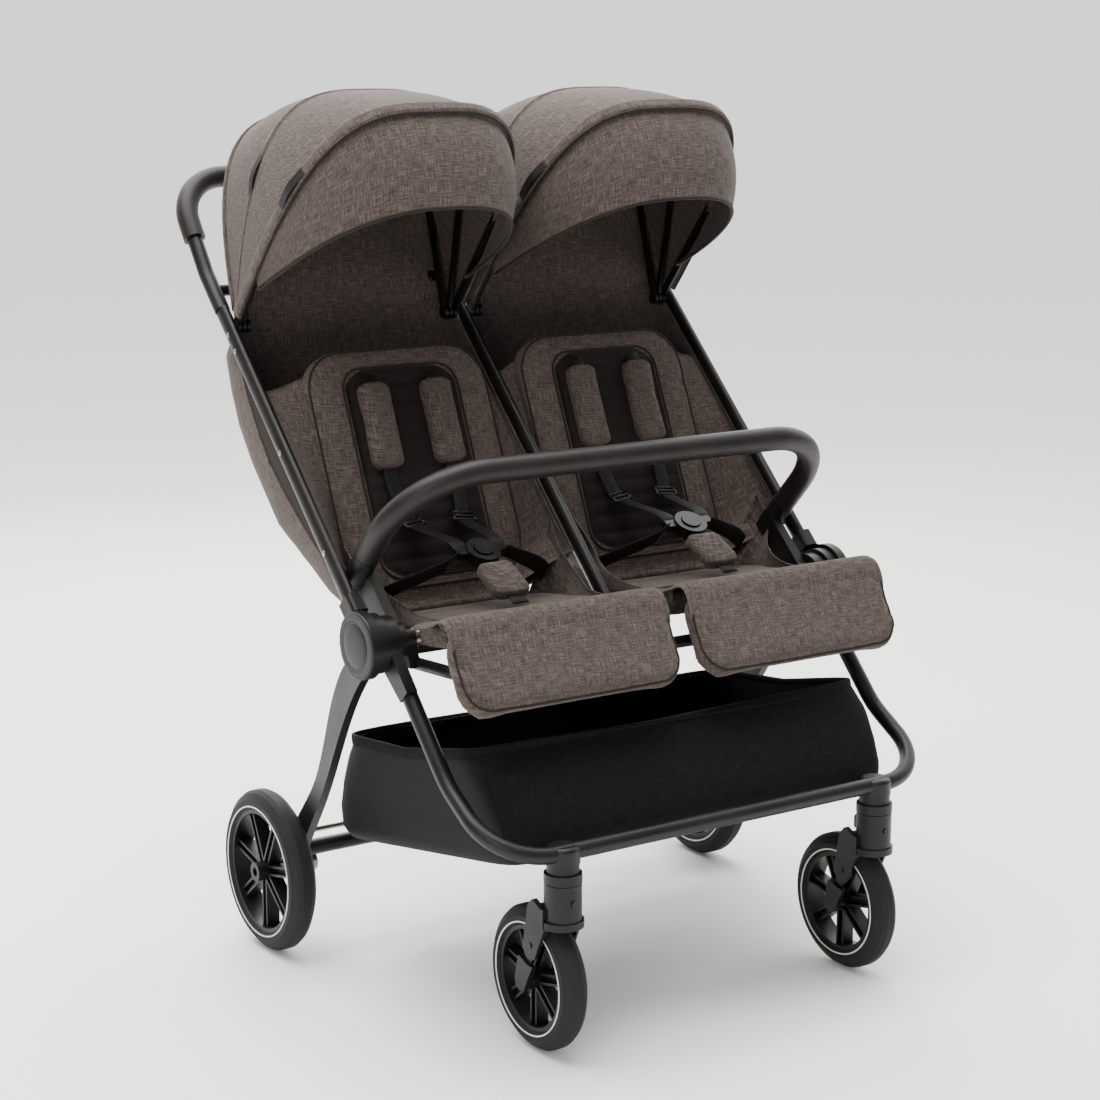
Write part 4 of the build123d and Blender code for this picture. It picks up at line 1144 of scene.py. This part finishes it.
head_group, sizes_in = group("dome_heads", {"Radius": 0.004, "Height": 0.4})
ball = add(head_group, "GeometryNodeMeshUVSphere", {"Segments": 14, "Rings": 8, "Radius": sizes_in["Radius"]})
facing = add(head_group, "FunctionNodeAlignRotationToVector",
             {"Vector": add(head_group, "GeometryNodeInputNamedAttribute", {"Name": "facing"},
                            data_type="FLOAT_VECTOR").outputs["Attribute"]}, axis="Z")
flat = add(head_group, "ShaderNodeCombineXYZ", {"X": 1.0, "Y": 1.0, "Z": sizes_in["Height"]})
placed = add(head_group, "GeometryNodeInstanceOnPoints", {"Points": sizes_in["Geometry"],
                                                          "Instance": ball.outputs["Mesh"],
                                                          "Rotation": facing.outputs["Rotation"],
                                                          "Scale": flat.outputs["Vector"]})
close_group(head_group, placed.outputs["Instances"], sizes_in["Finish"])
print("node groups:", [g.name for g in bpy.data.node_groups])


# %% Stitches along the seams
def polyline(name, lines):
    mesh = bpy.data.meshes.new(name)
    points, edges = [], []
    for line in lines:
        edges += [(len(points) + k, len(points) + k + 1) for k in range(len(line) - 1)]
        points += [tuple(p) for p in line]
    mesh.from_pydata(points, edges, [])
    made = bpy.data.objects.new(name, mesh)
    scene.collection.objects.link(made)
    return made


stitch_count = 0
for name, side in SIDES.items():
    flipped = np.array([side, 1, 1])
    edge = visor_rows(side)
    lines = [hood_point(front_hoop, side) + rim_side * shift * mm
             + (hood_point(front_hoop, side) - hood_point([0, 0, 0], side)) * 0.0132 for shift in (-5.6, 5.6)]
    lines += [edge[-2] * 0.35 + edge[-1] * 0.65 + (edge[-1] - hood_point([0, 0, 60], side)) * 0.004]
    calf = drop_calf(in_plane(calf_middle, -calf_down, rounded_outline(302, 94, 30, 120)), calf_out, 0.25)
    back = drop_back(in_plane(back_middle, back_along, rounded_outline(258, 313, 48, 150)), back_out, 0.25)
    for piece, body, seams in (("hood", "canopy", lines),
                               ("footrest", "footrest", [np.vstack([calf, calf[:1]]) * flipped]),
                               ("backrest", "backrest", [np.vstack([back, back[:1]]) * flipped])):
        made = grow(stitch_group, polyline(f"{piece}_stitches_{name}", seams), thread)
        stitch_count += len(made.data.polygons) // 7
        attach(made, f"{body}_{name}")
print("stitches", stitch_count)


# %% Rivets, hub caps and rings
def points_with_facing(name, places):
    mesh = bpy.data.meshes.new(name)
    mesh.from_pydata([tuple(p) for p, _ in places], [], [])
    facing_layer = mesh.attributes.new("facing", "FLOAT_VECTOR", "POINT")
    facing_layer.data.foreach_set("vector", np.array([f for _, f in places], dtype=float).ravel())
    made = bpy.data.objects.new(name, mesh)
    scene.collection.objects.link(made)
    return made


def heads(name, places, body, finish, radius_mm, height=0.4):
    made = grow(head_group, points_with_facing(name, places), finish, Radius=radius_mm * mm, Height=height)
    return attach(made, body)


def ring_at(name, centre, axis, inner_mm, outer_mm, depth_mm, body, finish, sides=64):
    """A flat ring round an axis."""
    axis = Vector(axis).normalized()
    first = axis.orthogonal().normalized()
    second = axis.cross(first)
    turn = np.linspace(0, 2 * math.pi, sides, endpoint=False)
    radius = (inner_mm + outer_mm) / 2 * mm
    path = [np.array(centre) + np.array(first * math.cos(t) + second * math.sin(t)) * radius for t in turn]
    made = sweep(name, path, round_section(depth_mm, outer_mm - inner_mm, 12, 0.5), finish, tuple(axis), closed=True)
    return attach(made, body)


tube_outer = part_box("side_tubes")[1].x
places = [(on_tube(s * tube_outer / mm, d), (s, 0, 0)) for s in SIDES.values() for d in (140, 300, 470, 498)]
heads("tube_rivets", places, "main_frame", steel, 3.6, 0.35)
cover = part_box("hub_covers")
hub_face = cover[1].x
heads("hub_caps", [((s * (hub_face - 0.0005), hub.y, hub.z), (s, 0, 0)) for s in SIDES.values()], "main_frame",
      moulded_black, 30, 0.09)
for name, side in SIDES.items():
    ring_at(f"hub_ring_{name}", (side * (hub_face - 0.001), hub.y, hub.z), (1, 0, 0), 34, 37, 2.4, "main_frame",
            powder_coat)
    for wheel, ring_radius, tyre in (("rear", 89, "rear_tyre_"), ("front", 70.5, "front_tyre_")):
        low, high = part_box(f"{tyre}{name}")
        middle = (np.array(low) + np.array(high)) / 2
        half = (high.x - low.x) / 2
        for face in (-1, 1):
            turn = np.linspace(0, 2 * math.pi, 96, endpoint=False)
            circle = middle + np.stack([turn * 0, np.cos(turn), np.sin(turn)], 1) * ring_radius * mm
            drop_side = dropper(frame["nodes"][f"{tyre}{name}"])
            line = drop_side(circle, (face, 0, 0), 0.1)
            ring = sweep(f"{wheel}_ring_{name}_{'outer' if face == side else 'inner'}", line,
                         round_section(1.2, 2.0, 8, 0.6), ring_paint, (1, 0, 0), closed=True)
            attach(ring, f"{wheel}_wheel_{name}")
print("rivets and rings ready")

# %% [markdown]
# ## Declared cloth
# Every free sheet is declared with the size it was cut to. The cut is
# taken as the widest row and the longest column of the drawn surface; its true flat area is kept with it.


def flat_area(made):
    """Half the surface of a thin closed piece, which is the area of its cloth."""
    return sum(face.area for face in made.data.polygons) / 2


declared = {}


def declare(made, rows):
    width = float(length_along(rows, 1)[:, -1].max())
    length = float(length_along(rows, 0)[-1].max())
    area = min(flat_area(made), width * length * 0.999)     # never more cloth than the flat size holds
    declared[made.name] = (round(width, 3), round(length, 3), round(area, 4))


def declare_panel(name, cols):
    """Declare a panel from the outer skin of its mesh, read back as its grid of points."""
    made = bpy.data.objects[name]
    corners = corners_of(made)
    declare(made, corners[:len(corners) // 2].reshape(-1, cols, 3))


for name in SIDES:
    declare_panel(f"hood_front_{name}", 61)
    declare_panel(f"hood_rear_{name}", 61)
    declare_panel(f"hood_visor_{name}", 61)
    declare_panel(f"seat_bucket_{name}", BUCKET_COLS)
    declare_panel(f"seat_apron_{name}", 41)
    for where, tube in (("outer", "side_tubes"), ("inner", "centre_tube")):
        declare_panel(f"seat_wing_{name}_{where}", 34)
        declare_panel(f"seat_gusset_{name}_{where}", 30)
declare(bag, np.concatenate([loops, loops[:, :1]], axis=1))
print("declared", json.dumps(declared, indent=0))
